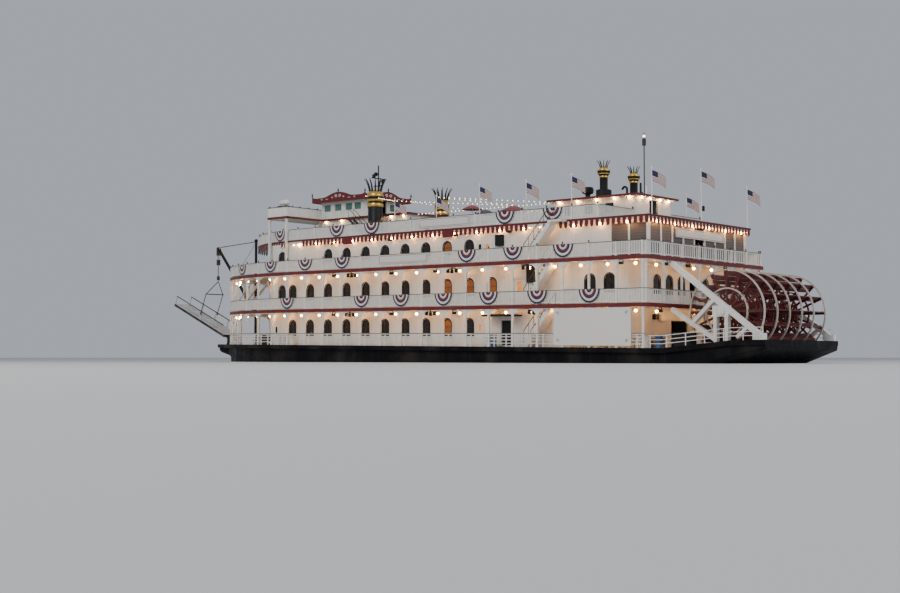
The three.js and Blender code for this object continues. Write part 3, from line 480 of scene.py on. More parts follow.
def surface(name, roughness, metallic=0.0, weather=None):
    """A new material: its tree, shader, object coordinates and weather masks."""
    material = bpy.data.materials.new(name)
    material.use_nodes = True
    tree = material.node_tree
    shader = tree.nodes["Principled BSDF"].inputs
    shader["Roughness"].default_value = roughness
    shader["Metallic"].default_value = metallic
    place = tree.nodes.new("ShaderNodeTexCoord").outputs["Object"]
    if weather:
        streaks, blotches, scale = weather
        weather = group_node(tree, WEATHER, Vector=place, Streaks=streaks, Blotches=blotches, Scale=scale)
    return material, tree, shader, place, weather


def bump(tree, shader, height, strength, distance):
    """Feeds a height into the shader's normal."""
    made = add_node(tree, "Bump", Height=height, Strength=strength, Distance=distance)
    put(tree, shader["Normal"], made.outputs["Normal"])


def painted(name, colour, dirt, roughness=0.45, metallic=0.0, streaks=0.3, blotches=0.15):
    """Paint: the colour, greyer where the weather has marked it, with a faint orange-peel bump."""
    marks = (streaks, blotches, 1.0)
    material, tree, shader, _, weather = surface(name, roughness, metallic, marks)
    tint = mixed(tree, ranged(tree, weather["Tone"], 0.3, 0.7, 0.0, 0.35), colour, dirt)
    put(tree, shader["Base Color"], mixed(tree, weather["Dirt"], tint, dirt))
    uneven = ranged(tree, weather["Tone"], 0.2, 0.8, roughness - 0.08, roughness + 0.12)
    put(tree, shader["Roughness"], uneven)
    bump(tree, shader, weather["Height"], 0.25, 0.002)
    return material


WHITE = painted("white paint", (0.82, 0.81, 0.77), (0.56, 0.53, 0.47), 0.45, 0.0, 0.18, 0.10)
TRIM = painted("white trim", (0.84, 0.83, 0.80), (0.60, 0.57, 0.50), 0.38, 0.0, 0.10, 0.08)
RED = painted("dark red paint", (0.15, 0.007, 0.008), (0.075, 0.010, 0.010), 0.42, 0.0, 0.2)
BLACK = painted("black paint", (0.007, 0.007, 0.009), (0.024, 0.020, 0.019))
BLACK.node_tree.nodes["Principled BSDF"].inputs["Specular IOR Level"].default_value = 0.25
WHEEL = painted("wheel red", (0.125, 0.010, 0.011), (0.075, 0.030, 0.022), 0.55, 0.0, 0.1, 0.5)
RIM = painted("rim grey", (0.55, 0.50, 0.45), (0.30, 0.18, 0.13), 0.5, 0.0, 0.2, 0.4)
STEEL = painted("dark steel", (0.055, 0.055, 0.062), (0.11, 0.07, 0.045), 0.45, 0.6, 0.2)
HANDRAIL = painted("handrail varnish", (0.045, 0.03, 0.026), (0.1, 0.07, 0.055), 0.35,
                   streaks=0.05)
GOLD = painted("gold paint", (0.83, 0.53, 0.12), (0.42, 0.24, 0.06), 0.28, 0.85, 0.15)
BLUE = painted("blue drum", (0.03, 0.10, 0.24), (0.10, 0.10, 0.12), 0.4)
BROWN = painted("brown crate", (0.20, 0.11, 0.055), (0.10, 0.06, 0.04), 0.6, blotches=0.4)
print("paints ready")

# %% [markdown]
# ## Decks and walls
#
# A deck is one slab with three finishes: grey planks to walk on, a dark red edge and a cream
# ceiling of narrow boards. The face's own direction says which one it is. Walls are steel sheets
# with upright battens, so their seams follow the way along the wall.


# %% Deck finish by the face's direction
def deck_material(name, edge_colour, under_colour, shine=0.5):
    """Planks where the face looks up, narrow boards where it looks down, edge paint between."""
    material, tree, shader, place, weather = surface(name, 0.55, weather=(0.15, 0.35, 1.0))
    shader["Specular IOR Level"].default_value = shine
    axes = parts_of(tree, place)
    facing = parts_of(tree, add_node(tree, "NewGeometry").outputs["Normal"])["Z"]
    up, down = ranged(tree, facing, 0.4, 0.6), ranged(tree, facing, -0.4, -0.6)
    planks = group_node(tree, BOARDS, Across=axes["Y"], Along=axes["X"], Pitch=0.07, Seam=0.05)
    plank = mixed(tree, planks["Board"], (0.30, 0.29, 0.27), (0.36, 0.35, 0.32))
    plank = mixed(tree, times(tree, planks["Seam"], 0.7), plank, (0.06, 0.055, 0.05))
    shadow = tuple(0.5 * channel for channel in under_colour)
    ceiling = mixed(tree, times(tree, planks["Seam"], 0.5), under_colour, shadow)
    colour = mixed(tree, down, mixed(tree, up, edge_colour, plank), ceiling)
    dirt = times(tree, weather["Dirt"], 0.5)
    put(tree, shader["Base Color"], mixed(tree, dirt, colour, (0.14, 0.12, 0.10)))
    put(tree, shader["Roughness"], ranged(tree, weather["Tone"], 0.2, 0.8, 0.42, 0.65))
    lowered = times(tree, planks["Seam"], maths(tree, "ABSOLUTE", facing))
    bump(tree, shader, maths(tree, "SUBTRACT", 1.0, lowered), 0.5, 0.004)
    return material


CREAM = (0.80, 0.77, 0.69)
finish("deck_2 deck_3 aft_house_roof", deck_material("deck", (0.14, 0.008, 0.009), CREAM))
finish("deck_4", deck_material("roof deck", CREAM, CREAM))
finish("hull", deck_material("hull", (0.004, 0.004, 0.006), (0.006, 0.006, 0.007), 0.1))
print("decks and hull finished")


# %% Wall finish: upright battens and streaks below the rails
def wall_material(name, along_axis):
    """White paint over sheets, with a seam every pitch along the wall."""
    material, tree, shader, place, weather = surface(name, 0.45, weather=(0.22, 0.12, 1.0))
    axes = parts_of(tree, place)
    sheets = group_node(tree, BOARDS, Across=axes[along_axis], Along=axes["Z"], Pitch=0.305, Seam=0.025)
    tint = mixed(tree, sheets["Board"], (0.83, 0.81, 0.76), (0.78, 0.76, 0.71))
    tint = mixed(tree, times(tree, sheets["Seam"], 0.55), tint, (0.42, 0.38, 0.33))
    put(tree, shader["Base Color"], mixed(tree, weather["Dirt"], tint, (0.55, 0.50, 0.43)))
    put(tree, shader["Roughness"], ranged(tree, weather["Tone"], 0.2, 0.8, 0.36, 0.56))
    bump(tree, shader, maths(tree, "SUBTRACT", 1.0, sheets["Seam"]), 0.4, 0.003)
    return material


SIDE_WALL, END_WALL = wall_material("side wall", "X"), wall_material("end wall", "Y")
SIDES = (("port", -1), ("starboard", 1))
for storey in ("main", "deck_2", "deck_3"):
    finish(f"{storey}_wall_port {storey}_wall_starboard", SIDE_WALL)
    finish(f"{storey}_wall_front {storey}_wall_aft", END_WALL)
for side, _ in SIDES:
    finish(f"stair_1_{side} stair_2_{side} stair_3_{side} stern_truss_{side}", TRIM)
    finish(f"door_shelter_{side}", BLACK)
finish("texas_walls pilothouse_walls aft_house_walls", WHITE)
finish("bridge_deck", TRIM)
finish("pilothouse_roof", RED)
finish("kingpost boom stage_saddle fore_mast", BLACK)
finish("hook_block hoist_fall stage_bridle aft_antenna", STEEL)
print("walls, stairs and gear finished")

# %% [markdown]
# ## Glass, lamps and cloth
#
# The windows look dark from outside, with a few lit. The lamps glow warm. Cloth needs its own
# thread pattern, laid out by each sheet's cut, so bunting and flags carry their own UV maps.


# %% Glass, light and screens
def pane_material(name, colour, glow=0.0):
    """A window pane: dark and glossy, a little uneven, and softly lit where someone is in."""
    material, tree, shader, _, weather = surface(name, 0.08, weather=(0.3, 0.3, 1.6))
    tint = mixed(tree, weather["Tone"], colour, tuple(channel * 0.45 for channel in colour))
    put(tree, shader["Base Color"], tint)
    put(tree, shader["Roughness"], ranged(tree, weather["Dirt"], 0.0, 1.0, 0.08, 0.33))
    if glow:
        put(tree, shader["Emission Color"], tint)
        shader["Emission Strength"].default_value = glow
    return material


DARK_PANE = pane_material("dark pane", (0.016, 0.012, 0.011))
LIT_PANE = pane_material("lit pane", (0.75, 0.30, 0.06), 0.9)
AMBER_PANE = pane_material("amber pane", (0.30, 0.10, 0.018), 0.35)
GREEN_PANE = pane_material("green pane", (0.10, 0.24, 0.20))
LAMP = pane_material("lamp", (1.0, 0.46, 0.13), 95.0)
BULB = pane_material("string bulb", (1.0, 0.78, 0.45), 9.0)

SCREEN, tree, shader, place, _ = surface("insect screen", 0.7)
axes = parts_of(tree, place)
across = maths(tree, "ADD", axes["X"], axes["Y"])
wires = group_node(tree, WEAVE, U=across, V=axes["Z"], Threads=900.0)
slats = group_node(tree, BOARDS, Across=axes["Z"], Along=across, Pitch=0.11, Seam=0.09)
wire_tint = mixed(tree, wires["Height"], (0.075, 0.068, 0.066), (0.15, 0.135, 0.13))
put(tree, shader["Base Color"], mixed(tree, slats["Seam"], wire_tint, (0.035, 0.03, 0.03)))
bump(tree, shader, wires["Height"], 0.3, 0.001)
print("panes, lamps and screens ready")


# %% Cloth with bands by the cut
def cloth_material(name, paint_cut, threads):
    """Woven cloth whose colour paint_cut works out from the cut's u and v."""
    material, tree, shader, _, _ = surface(name, 0.85)
    shader["Sheen Weight"].default_value = 0.25
    cut = add_node(tree, "UVMap")
    cut.uv_map = "cut"
    axes = parts_of(tree, cut.outputs["UV"])
    weave = group_node(tree, WEAVE, U=axes["X"], V=axes["Y"], Threads=threads)
    colour = paint_cut(tree, axes["X"], axes["Y"])
    shade = times(tree, weave["Height"], 0.18)
    put(tree, shader["Base Color"], mixed(tree, shade, colour, (0.03, 0.03, 0.04)))
    bump(tree, shader, weave["Height"], 0.25, 0.0008)
    return material


CLOTH_RED, CLOTH_WHITE, CLOTH_BLUE = (0.26, 0.012, 0.022), (0.74, 0.72, 0.68), (0.014, 0.016, 0.062)
BAND_STARTS = (0.24, 0.4, 0.53, 0.68, 0.85)
BAND_COLOURS = (CLOTH_WHITE, CLOTH_RED, CLOTH_BLUE, CLOTH_WHITE, CLOTH_BLUE)


def ringed(tree, u, v):
    """Bunting: blue at the middle, then white, red, blue, white and blue bands along u."""
    bands = add_node(tree, "ValToRGB", Fac=u)
    ramp = bands.color_ramp
    ramp.interpolation = "CONSTANT"
    ramp.elements[0].color = (*CLOTH_BLUE, 1.0)
    ramp.elements.remove(ramp.elements[1])
    for position, colour in zip(BAND_STARTS, BAND_COLOURS):
        ramp.elements.new(position).color = (*colour, 1.0)
    return bands.outputs["Color"]


def striped(tree, u, v):
    """A flag: thirteen bands along v, and a plain blue corner next to the pole."""
    odd = maths(tree, "MODULO", maths(tree, "FLOOR", times(tree, v, 12.999)), 2.0)
    corner = times(tree, maths(tree, "GREATER_THAN", v, 6.0 / 13.0), maths(tree, "LESS_THAN", u, 0.42))
    return mixed(tree, corner, mixed(tree, odd, CLOTH_RED, CLOTH_WHITE), CLOTH_BLUE)


def plain(colour):
    """Cloth of one colour: gives the function that paints it."""
    def paint_cut(tree, u, v):
        """The colour, up to 30% darker in cloudy patches of noise over the cut."""
        cut = add_node(tree, "UVMap").outputs["UV"]
        return mixed(tree, noise(tree, cut, 9.0), colour, tuple(0.7 * channel for channel in colour))

    return paint_cut


def bordered(tree, u, v):
    """A blank banner: white with a thin red line inside each edge."""
    lines = []
    for axis, middle, half in ((u, 0.022, 0.004), (v, 0.12, 0.022)):
        from_edge = maths(tree, "MINIMUM", axis, maths(tree, "SUBTRACT", 1.0, axis))
        line = maths(tree, "COMPARE", from_edge, middle)
        line.node.inputs[2].default_value = half
        lines.append((line, maths(tree, "GREATER_THAN", from_edge, middle - half)))
    (line_u, inside_u), (line_v, inside_v) = lines
    line = maths(tree, "MAXIMUM", times(tree, line_u, inside_v), times(tree, line_v, inside_u))
    return mixed(tree, line, CLOTH_WHITE, CLOTH_RED)


BUNTING = cloth_material("bunting cloth", ringed, 260.0)
FLAG = cloth_material("flag cloth", striped, 380.0)
CANOPY = cloth_material("red canvas", plain(CLOTH_RED), 500.0)
DARK_CANOPY = cloth_material("dark canvas", plain((0.03, 0.032, 0.05)), 500.0)
BANNER = cloth_material("banner cloth", bordered, 600.0)
print("cloth ready")

# %% [markdown]
# ## Where the galleries run
#
# Each gallery goes forward along the side and round the bow on half an ellipse. Rails, posts,
# lamps and trim all sit at distances walked along that line, so one table of stations serves.

# %% Gallery lines
BOW_CENTRE = -38.0
MAIN_TOP, DECK_2_TOP, DECK_3_TOP, DECK_4_TOP = 1.1, 4.35, 7.8, 10.8
SLAB = 0.3
HALF_BEAM, BOW_REACH = 8.5, 17.4
ROOF_HALF, ROOF_REACH, ROOF_AFT = 7.3, 13.0, -0.5
MODULE, FIRST_POST = 2.44, -2.65
RAIL_HEIGHT, RAIL_INSET = 1.07, 0.1
HOUSE_HALF, HOUSE_END = 2.5, -4.9
GALLERY_COLUMNS = ("aft", "rail_aft", "half", "reach", "floor", "ceiling", "gap")
GALLERY_ROWS = {
    "main": (0.0, -0.25, HALF_BEAM, BOW_REACH, MAIN_TOP, DECK_2_TOP - SLAB, 1.1),
    "deck_2": (0.0, -0.25, HALF_BEAM, BOW_REACH, DECK_2_TOP, DECK_3_TOP - SLAB, 0.6),
    "deck_3": (0.0, -0.25, HALF_BEAM, BOW_REACH, DECK_3_TOP, None, 0.08),
    "deck_4": (ROOF_AFT, HOUSE_END - 0.1, ROOF_HALF, ROOF_REACH, DECK_4_TOP, None, 0.08),
}
GALLERIES = {name: dict(zip(GALLERY_COLUMNS, row)) for name, row in GALLERY_ROWS.items()}


def gallery_line(side, half, reach, aft, gap, steps=90):
    """Points forward along the side, then (bow - reach sin t, half cos t) until y falls to gap."""
    t = np.linspace(0.0, math.acos(min(1.0, gap / half)), steps)
    bow = np.stack([BOW_CENTRE - reach * np.sin(t), side * half * np.cos(t), np.zeros(steps)], 1)
    straight = np.linspace([aft, side * half, 0.0], [BOW_CENTRE, side * half, 0.0], 40)[:-1]
    return np.concatenate([straight, bow])


def walk(line, distances):
    """Rows of (x, y, z, heading) at distances along a line, by straight steps between its points."""
    step = np.linalg.norm(np.diff(line, axis=0), axis=1)
    total = np.concatenate([[0.0], np.cumsum(step)])
    places = [np.interp(distances, total, line[:, axis]) for axis in range(3)]
    heading = np.diff(line, axis=0)[np.clip(np.searchsorted(total, distances) - 1, 0, len(step) - 1)]
    return np.stack([*places, np.arctan2(heading[:, 1], heading[:, 0])], 1)


def length_of(line):
    """The sum of a line's steps."""
    return np.linalg.norm(np.diff(line, axis=0), axis=1).sum()


def lifted(rows, height):
    """The same places or rows, higher by height."""
    rows = np.array(rows, float)
    rows[:, 2] += height
    return rows


def rail_line(name, side):
    """The line on which a gallery's rail stands, just inside the deck's edge."""
    g = GALLERIES[name]
    line = gallery_line(side, g["half"] - RAIL_INSET, g["reach"] - RAIL_INSET, g["rail_aft"], g["gap"])
    return lifted(line, g["floor"])


def post_distances(line):
    """A post at the after corner, one every module from the first station, and one at the bow."""
    posts = np.arange(line[0, 0] - FIRST_POST, length_of(line) - 0.6, MODULE)
    return np.concatenate([[0.1], posts[posts > 0.6], [length_of(line) - 0.1]])


print("deck 2 port rail is", round(length_of(rail_line("deck_2", -1)), 1), "m long")

# %% [markdown]
# ## Rails
#
# The upper galleries have flat white pickets so close that they look solid from the side. The
# main deck has open bars. A thin dark handrail caps them all. Tall posts carry the decks above,
# with a sawn bracket on each side, which turns every bay into a low arch.

# %% Rail sections and posts
PICKET, PICKET_PITCH = box(-0.037, 0.037, -0.02, 0.02, 0.14, RAIL_HEIGHT - 0.1), 0.142
STERN_PICKET, STERN_PITCH = box(-0.055, 0.055, -0.012, 0.012, 0.14, RAIL_HEIGHT - 0.1), 0.29
BAR_POST = box(-0.04, 0.04, -0.035, 0.035, 0.002, RAIL_HEIGHT - 0.06)
BAR_HEIGHTS = (0.28, 0.53, 0.78)
CAP_PROFILE = [(-0.075, -0.05), (0.075, -0.05), (0.075, -0.015), (0.05, 0.0), (-0.05, 0.0), (-0.075, -0.015)]
UNDER_PROFILE = [(-0.04, -0.12), (0.04, -0.12), (0.04, -0.05), (-0.04, -0.05)]
FOOT_PROFILE = [(-0.04, 0.08), (0.04, 0.08), (0.04, 0.15), (-0.04, 0.15)]
BAR_PROFILE = [(-0.025, -0.03), (0.025, -0.03), (0.025, 0.03), (-0.025, 0.03)]
KNOB_SIDE = [(0.0, 0.0), (0.05, 0.0), (0.035, 0.05), (0.068, 0.09), (0.068, 0.14), (0.035, 0.18), (0.0, 0.2)]
KNOB = turned(KNOB_SIDE, 10)
BRACKET_SIZE = 0.78


def newel(height):
    """A square post with a wider foot and head: three boxes in one."""
    return stacked([
        box(-0.08, 0.08, -0.06, 0.06, 0.02, height - 0.002),
        box(-0.105, 0.105, -0.085, 0.085, 0.002, 0.16),
        box(-0.1, 0.1, -0.08, 0.08, height - 0.16, height - 0.002),
    ])


def bracket(size):
    """Sawn quarter arches on both sides of a post head, from the corner to a quarter circle."""
    t = np.linspace(0.0, np.pi / 2, 9)
    inner = np.stack([size * (1 - 0.93 * np.sin(t)), size * (0.93 * np.cos(t) - 1)], 1)
    corner = np.array([[size, 0.0], [0.05, 0.0], [0.05, -size]])
    outer = np.stack([np.interp(t, [0, np.pi / 4, np.pi / 2], corner[:, axis]) for axis in (0, 1)], 1)
    return mirrored(band(inner, outer, -0.025, 0.025, closed=False), signs=(-1, 1, 1))


print("rail sections ready")


# %% A rail along a line
def pickets_along(line, picket=PICKET, pitch=PICKET_PITCH):
    """Pickets at an even pitch along the line, with the rails above and below them."""
    count = int(length_of(line) / pitch)
    rows = walk(line, (np.arange(count) + 0.5) * length_of(line) / count)
    under = carried(lifted(line, RAIL_HEIGHT), UNDER_PROFILE)
    return [repeated(picket, rows), under, carried(line, FOOT_PROFILE)]


def bars_along(line):
    """Three open bars between short posts, under the same cap."""
    rows = walk(line, np.arange(0.6, length_of(line), MODULE / 2))
    lines = [carried(lifted(line, height), BAR_PROFILE) for height in BAR_HEIGHTS]
    return [repeated(BAR_POST, rows), carried(lifted(line, RAIL_HEIGHT), UNDER_PROFILE), *lines]


def make_rail(name, node, runs, ceiling, fill):
    """A rail of (line, post distances) runs: posts and brackets in white, and a dark cap."""
    white, dark = [], []
    for line, distances in runs:
        posts = walk(line, distances)
        height = RAIL_HEIGHT - 0.04 if ceiling is None else ceiling - line[0, 2]
        white += [*fill(line), repeated(newel(height), posts)]
        dark.append(carried(lifted(line, RAIL_HEIGHT), CAP_PROFILE))
        if ceiling is None:
            dark.append(repeated(KNOB, lifted(posts[:, :3], RAIL_HEIGHT - 0.003)))
        else:
            white.append(repeated(bracket(BRACKET_SIZE), lifted(posts[1:-1], height - 0.003)))
    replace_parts(piece(f"{name}_balustrade", white, TRIM), node)
    piece(f"{name}_handrail", dark, HANDRAIL)


for name, gallery in GALLERIES.items():
    inner, floor_height = gallery["half"] - RAIL_INSET, gallery["floor"]
    for side, sign in SIDES:
        line = rail_line(name, sign)
        runs = [(line, post_distances(line))]
        if name == "deck_4":
            x, y0, y1 = line[0, 0] - 0.1, sign * (inner - 0.1), sign * (HOUSE_HALF + 0.02)
            cross = np.linspace((x, y0, floor_height), (x, y1, floor_height), 10)
            runs.append((cross, [length_of(cross) - 0.1]))
        fill = bars_along if name == "main" else pickets_along
        make_rail(f"{name}_{side}", f"{name}_rail_{side}", runs, gallery["ceiling"], fill)
    if name in ("deck_2", "deck_3"):
        x = gallery["aft"] - RAIL_INSET - 0.06
        line = np.linspace((x, -inner, floor_height), (x, inner, floor_height), 30)
        runs = [(line, np.linspace(0.1, 2 * inner - 0.1, 8))]
        make_rail(f"{name}_stern", f"{name}_rail_stern", runs, gallery["ceiling"],
                  lambda line: pickets_along(line, STERN_PICKET, STERN_PITCH))
print("rails made")

# %% [markdown]
# ## Windows and doors
#
# Every cabin window has a round head, a thin white casing outside, and a sash and dark glass
# inside the wall's thickness. One unit is built at the origin, facing port, and repeated along
# the walls; a quarter turn makes it face forward or aft.

# %% Tables of windows and doors
CABIN_HALF, WALL = 7.0, 0.15
CABIN_FRONT, CABIN_AFT, PORCH_AFT = -43.2, -2.6, -0.75
WINDOW_WIDTH, SILL, DOOR_HEIGHT = 0.98, 0.9, 2.1
GRID = -40.07 + MODULE * np.arange(11)
STERN_WINDOWS = [-3.15, -1.45, 0.25, 3.75, 5.45]
# Each storey: floor, window head, side and stern windows, lit windows, and the side door and width
STOREYS = {
    "main": (MAIN_TOP, 2.3, GRID[:10], [], [16], -14.2, 1.0),
    "deck_2": (DECK_2_TOP, 2.3, [*GRID, -41.6, -6.0, -4.2], STERN_WINDOWS, [16, 18, 20], -12.9, 0.9),
    "deck_3": (DECK_3_TOP, 2.0, [*GRID[2:10], -41.6], [], [12], -14.9, 0.9),
}
FRONT_WINDOWS = [-5.2, -3.2, 3.2, 5.2]
COVERED_WINDOWS = [-5.8, -4.2, -2.6, 2.6, 4.2, 5.8]
FACE_PORT, FACE_STARBOARD, FACE_FORWARD, FACE_AFT = 0.0, math.pi, -math.pi / 2, math.pi / 2
FACINGS = ((-1, FACE_PORT), (1, FACE_STARBOARD))


def on_sides(stations, half, z):
    """Rows on both sides of the boat, facing outwards."""
    return np.array([(x, sign * half, z, turn) for x in stations for sign, turn in FACINGS])


def on_end(ys, station, z, turn):
    """Rows across an end wall."""
    return np.array([(station, y, z, turn) for y in ys]).reshape(-1, 4)


def arched(height, grow, steps=20):
    """A window's outline with a round head, grown outwards: two feet, then a half circle."""
    radius = WINDOW_WIDTH / 2 + grow
    t = np.linspace(0.0, np.pi, steps + 1)
    head = np.stack([radius * np.cos(t), height - WINDOW_WIDTH / 2 + radius * np.sin(t)], 1)
    return np.concatenate([[[-radius, -grow], [radius, -grow]], head])


def arched_casing(height):
    """The casing and sill of a round-headed window whose outer wall face is at y 0."""
    sill = WINDOW_WIDTH / 2 + 0.13
    return stacked([
        band(arched(height, 0.055), arched(height, 0.11), -0.04, 0.004),
        box(-sill, sill, -0.07, 0.004, -0.16, -0.11),
    ])


def arched_sash(height):
    """The same window's dark frame on the wall, and its sash with a meeting rail, set back."""
    bar = WINDOW_WIDTH / 2 - 0.04
    return stacked([
        band(arched(height, -0.02), arched(height, 0.055), -0.03, 0.004),
        band(arched(height, -0.1, 12), arched(height, 0.004, 12), 0.05, 0.1),
        box(-bar, bar, 0.055, 0.095, height * 0.5 - 0.02, height * 0.5 + 0.02),
    ])


print("windows along a side:", [len(row[2]) for row in STOREYS.values()])

# %% Cabin windows
casings, sashes, dark, lit = [], [], [], []
for floor_height, head, stations, stern, glowing_ones, _, _ in STOREYS.values():
    height, z = head - SILL, floor_height + SILL
    rows = np.concatenate([
        on_sides(stations, CABIN_HALF, z), on_end(FRONT_WINDOWS, CABIN_FRONT, z, FACE_FORWARD),
        on_end(stern, CABIN_AFT, z, FACE_AFT),
    ])
    casings.append(repeated(arched_casing(height), rows))
    sashes.append(repeated(arched_sash(height), rows))
    pane = plate(arched(height, -0.05, 12), 0.068, 0.08)
    glowing = np.isin(np.arange(len(rows)), glowing_ones)
    dark.append(repeated(pane, rows[~glowing]))
    lit.append(repeated(pane, rows[glowing]))
piece("window_casings", casings, TRIM)
piece("window_sashes", sashes, BLACK)
piece("window_glass", dark, DARK_PANE)
piece("window_glass_lit", lit, AMBER_PANE)
covered = on_end(COVERED_WINDOWS, CABIN_AFT, MAIN_TOP + SILL, FACE_AFT)
piece("stern_window_covers", repeated(plate(arched(1.4, 0.02, 12), -0.004, 0.1), covered), END_WALL)
print("cabin windows made")


# %% Doors
def door_leaf(width):
    """A leaf with a raised panel below."""
    half = width / 2
    return stacked([
        box(-half + 0.01, half - 0.01, 0.05, 0.1, 0.13, DOOR_HEIGHT - 0.02),
        box(-half + 0.08, half - 0.08, 0.035, 0.06, 0.25, 0.95),
    ])


def door_casing(width):
    """A square casing with a small hood."""
    half = width / 2
    outline = np.array([[-half, 0.12], [half, 0.12], [half, DOOR_HEIGHT], [-half, DOOR_HEIGHT]])
    grown = outline + [[-0.09, -0.08], [0.09, -0.08], [0.09, 0.09], [-0.09, 0.09]]
    hood = box(-half - 0.14, half + 0.14, -0.09, 0.004, DOOR_HEIGHT + 0.09, DOOR_HEIGHT + 0.14)
    return stacked([band(outline, grown, -0.03, 0.004), hood])


FRONT_LIGHT, DOOR_LIGHT = box(-0.3, 0.3, 0.04, 0.06, 1.1, 1.9), box(-0.24, 0.24, 0.04, 0.06, 1.0, 1.95)
leaves, front_leaves, casings, knobs, front_lights = [], [], [], [], []
for floor_height, *_, station, width in STOREYS.values():
    rows = on_sides([station], CABIN_HALF, floor_height)
    front = on_end((-0.45, 0.45), CABIN_FRONT, floor_height, FACE_FORWARD)
    leaves.append(repeated(door_leaf(width), rows))
    casings.append(repeated(door_casing(width), rows))
    front_leaves.append(repeated(door_leaf(0.88), front))
    front_lights.append(repeated(FRONT_LIGHT, front))
    knobs.append(repeated(repeated(ball(0.045, 8, 4), (width / 2 - 0.1, 0.0, 1.02)), rows))
lit_doors = on_sides([STOREYS["deck_2"][-2]], CABIN_HALF, DECK_2_TOP)
piece("door_leaves", leaves[1:] + front_leaves, WHITE)
# The main deck's door leaf is black: painted shade for the dark doorway under its shelter.
piece("door_leaves_dark", leaves[0], BLACK)
piece("door_casings", casings, TRIM)
piece("door_glass_lit", repeated(DOOR_LIGHT, lit_doors), LIT_PANE)
piece("door_glass", front_lights, DARK_PANE)
piece("door_knobs", knobs, GOLD, smooth=True)
print("doors made")

# %% Porch screens
PORCH_BAYS = [(-4.05, -2.55), (-2.4, -0.95)]
PORCH_COUNT, PORCH_POST = 9, 0.15
low, high = DECK_3_TOP + 0.104, DECK_4_TOP - SLAB - 0.204
inner = CABIN_HALF - WALL
bay = 2 * inner / PORCH_COUNT
half = (bay - PORCH_POST) / 2 - 0.002
middles = -inner + bay * (np.arange(PORCH_COUNT) + 0.5)
screens = [mirrored(box(x0 + 0.002, x1 - 0.002, 6.92, 6.94, low, high)) for x0, x1 in PORCH_BAYS]
screens += [box(-0.835, -0.815, y - half, y + half, low, high) for y in middles if abs(y) > 0.1]
piece("porch_screens", screens, SCREEN)
print("porch screens made")

# %% [markdown]
# ## Lamps, and the fringe under the roof
#
# A warm globe hangs in each bay of the two lower galleries. The roof's edge carries a dark red
# board with pendants below it and a row of small bulbs between them.

# %% Gallery lamps
LAMP_INSET, LAMP_DROP = 0.75, 0.25
GLOBE = ball(0.11, 10, 6)
HOLDER = turned([(0.0, 0.0), (0.09, 0.0), (0.07, 0.05), (0.045, 0.08), (0.045, 0.16), (0.0, 0.16)], 10)
lamp_places = []
for name in ("main", "deck_2"):
    ceiling = GALLERIES[name]["ceiling"] - LAMP_DROP
    for side, sign in SIDES:
        line = gallery_line(sign, HALF_BEAM - LAMP_INSET, BOW_REACH - LAMP_INSET, 0.0, 1.0)
        places = walk(line, np.arange(-FIRST_POST + MODULE / 2, length_of(line), MODULE))[:, :3]
        lamp_places += [(-1.4, sign * (HALF_BEAM - LAMP_INSET), ceiling), *lifted(places, ceiling)]
    lamp_places += [(-1.3, y, ceiling) for y in (-5.2, -2.6, 0.0, 2.6, 5.2)]
piece("gallery_lamps", repeated(GLOBE, lamp_places), LAMP, smooth=True)
piece("gallery_lamp_holders", repeated(HOLDER, lifted(lamp_places, 0.085)), GOLD, smooth=True)
print("gallery lamps made")

# %% Fringe and bulbs under the roof's edge
TOOTH_PITCH = MODULE / 5
FRINGE_GAPS = [(-11.9, -8.8), (-40.75, -38.6)]
VALANCES = (-32.3, -20.25)
DARK_BOW = 10.5
TOOTH_SIDE = [(-0.15, 0.0), (-0.15, -0.36), (-0.1, -0.48)]
TOOTH = plate([*TOOTH_SIDE, (0.0, -0.54), *[(-x, z) for x, z in TOOTH_SIDE[::-1]]], -0.012, 0.012)
VALANCE = box(-0.55, 0.55, -0.05, -0.015, -0.6, 0.0)
EDGE_PROFILE = [(0.005, -0.12), (0.04, -0.12), (0.04, -0.06), (0.07, -0.04), (0.07, 0.03), (-0.03, 0.03),
                (-0.03, 0.005), (0.005, 0.005)]
SMALL_BULB, LARGE_BULB = ball(0.05, 6, 4), ball(0.1)
FRINGE_TOP = DECK_4_TOP - 0.1
hung = lifted(gallery_line(-1, ROOF_HALF + 0.025, ROOF_REACH + 0.025, ROOF_AFT, 0.02), FRINGE_TOP)
under = lifted(gallery_line(-1, ROOF_HALF - 0.12, ROOF_REACH - 0.12, ROOF_AFT, 0.02), DECK_4_TOP - SLAB)
edge = lifted(gallery_line(-1, ROOF_HALF, ROOF_REACH, ROOF_AFT, 0.02), DECK_4_TOP)
spots = walk(hung, np.arange(0.2, length_of(hung), TOOTH_PITCH))
kept = np.all([(spots[:, 0] < low) | (spots[:, 0] > high) for low, high in FRINGE_GAPS], axis=0)
valances = [(x, -ROOF_HALF, FRINGE_TOP) for x in VALANCES]
lit_length = length_of(under) - DARK_BOW
small = walk(under, np.arange(0.4, lit_length, 2 * TOOTH_PITCH))[:, :3]
large = walk(under, np.arange(2.0, lit_length, MODULE))[:, :3]
stern = on_end(np.arange(-ROOF_HALF + 0.2, ROOF_HALF, TOOTH_PITCH), ROOF_AFT + 0.025, FRINGE_TOP, FACE_AFT)
stern_ends = [(ROOF_AFT, y, DECK_4_TOP) for y in (-ROOF_HALF - 0.05, 0.0, ROOF_HALF + 0.05)]
stern_large = [(ROOF_AFT - 0.12, y, DECK_4_TOP - SLAB - 0.14) for y in np.linspace(-6, 6, 6)]
fringe = [mirrored(repeated(TOOTH, spots[kept]), repeated(VALANCE, valances)), repeated(TOOTH, stern)]
piece("roof_fringe", fringe, RED)
port_edge = carried(edge, [(-x, z) for x, z in EDGE_PROFILE])
piece("roof_edge", [mirrored(port_edge), carried(stern_ends, EDGE_PROFILE)], RED)
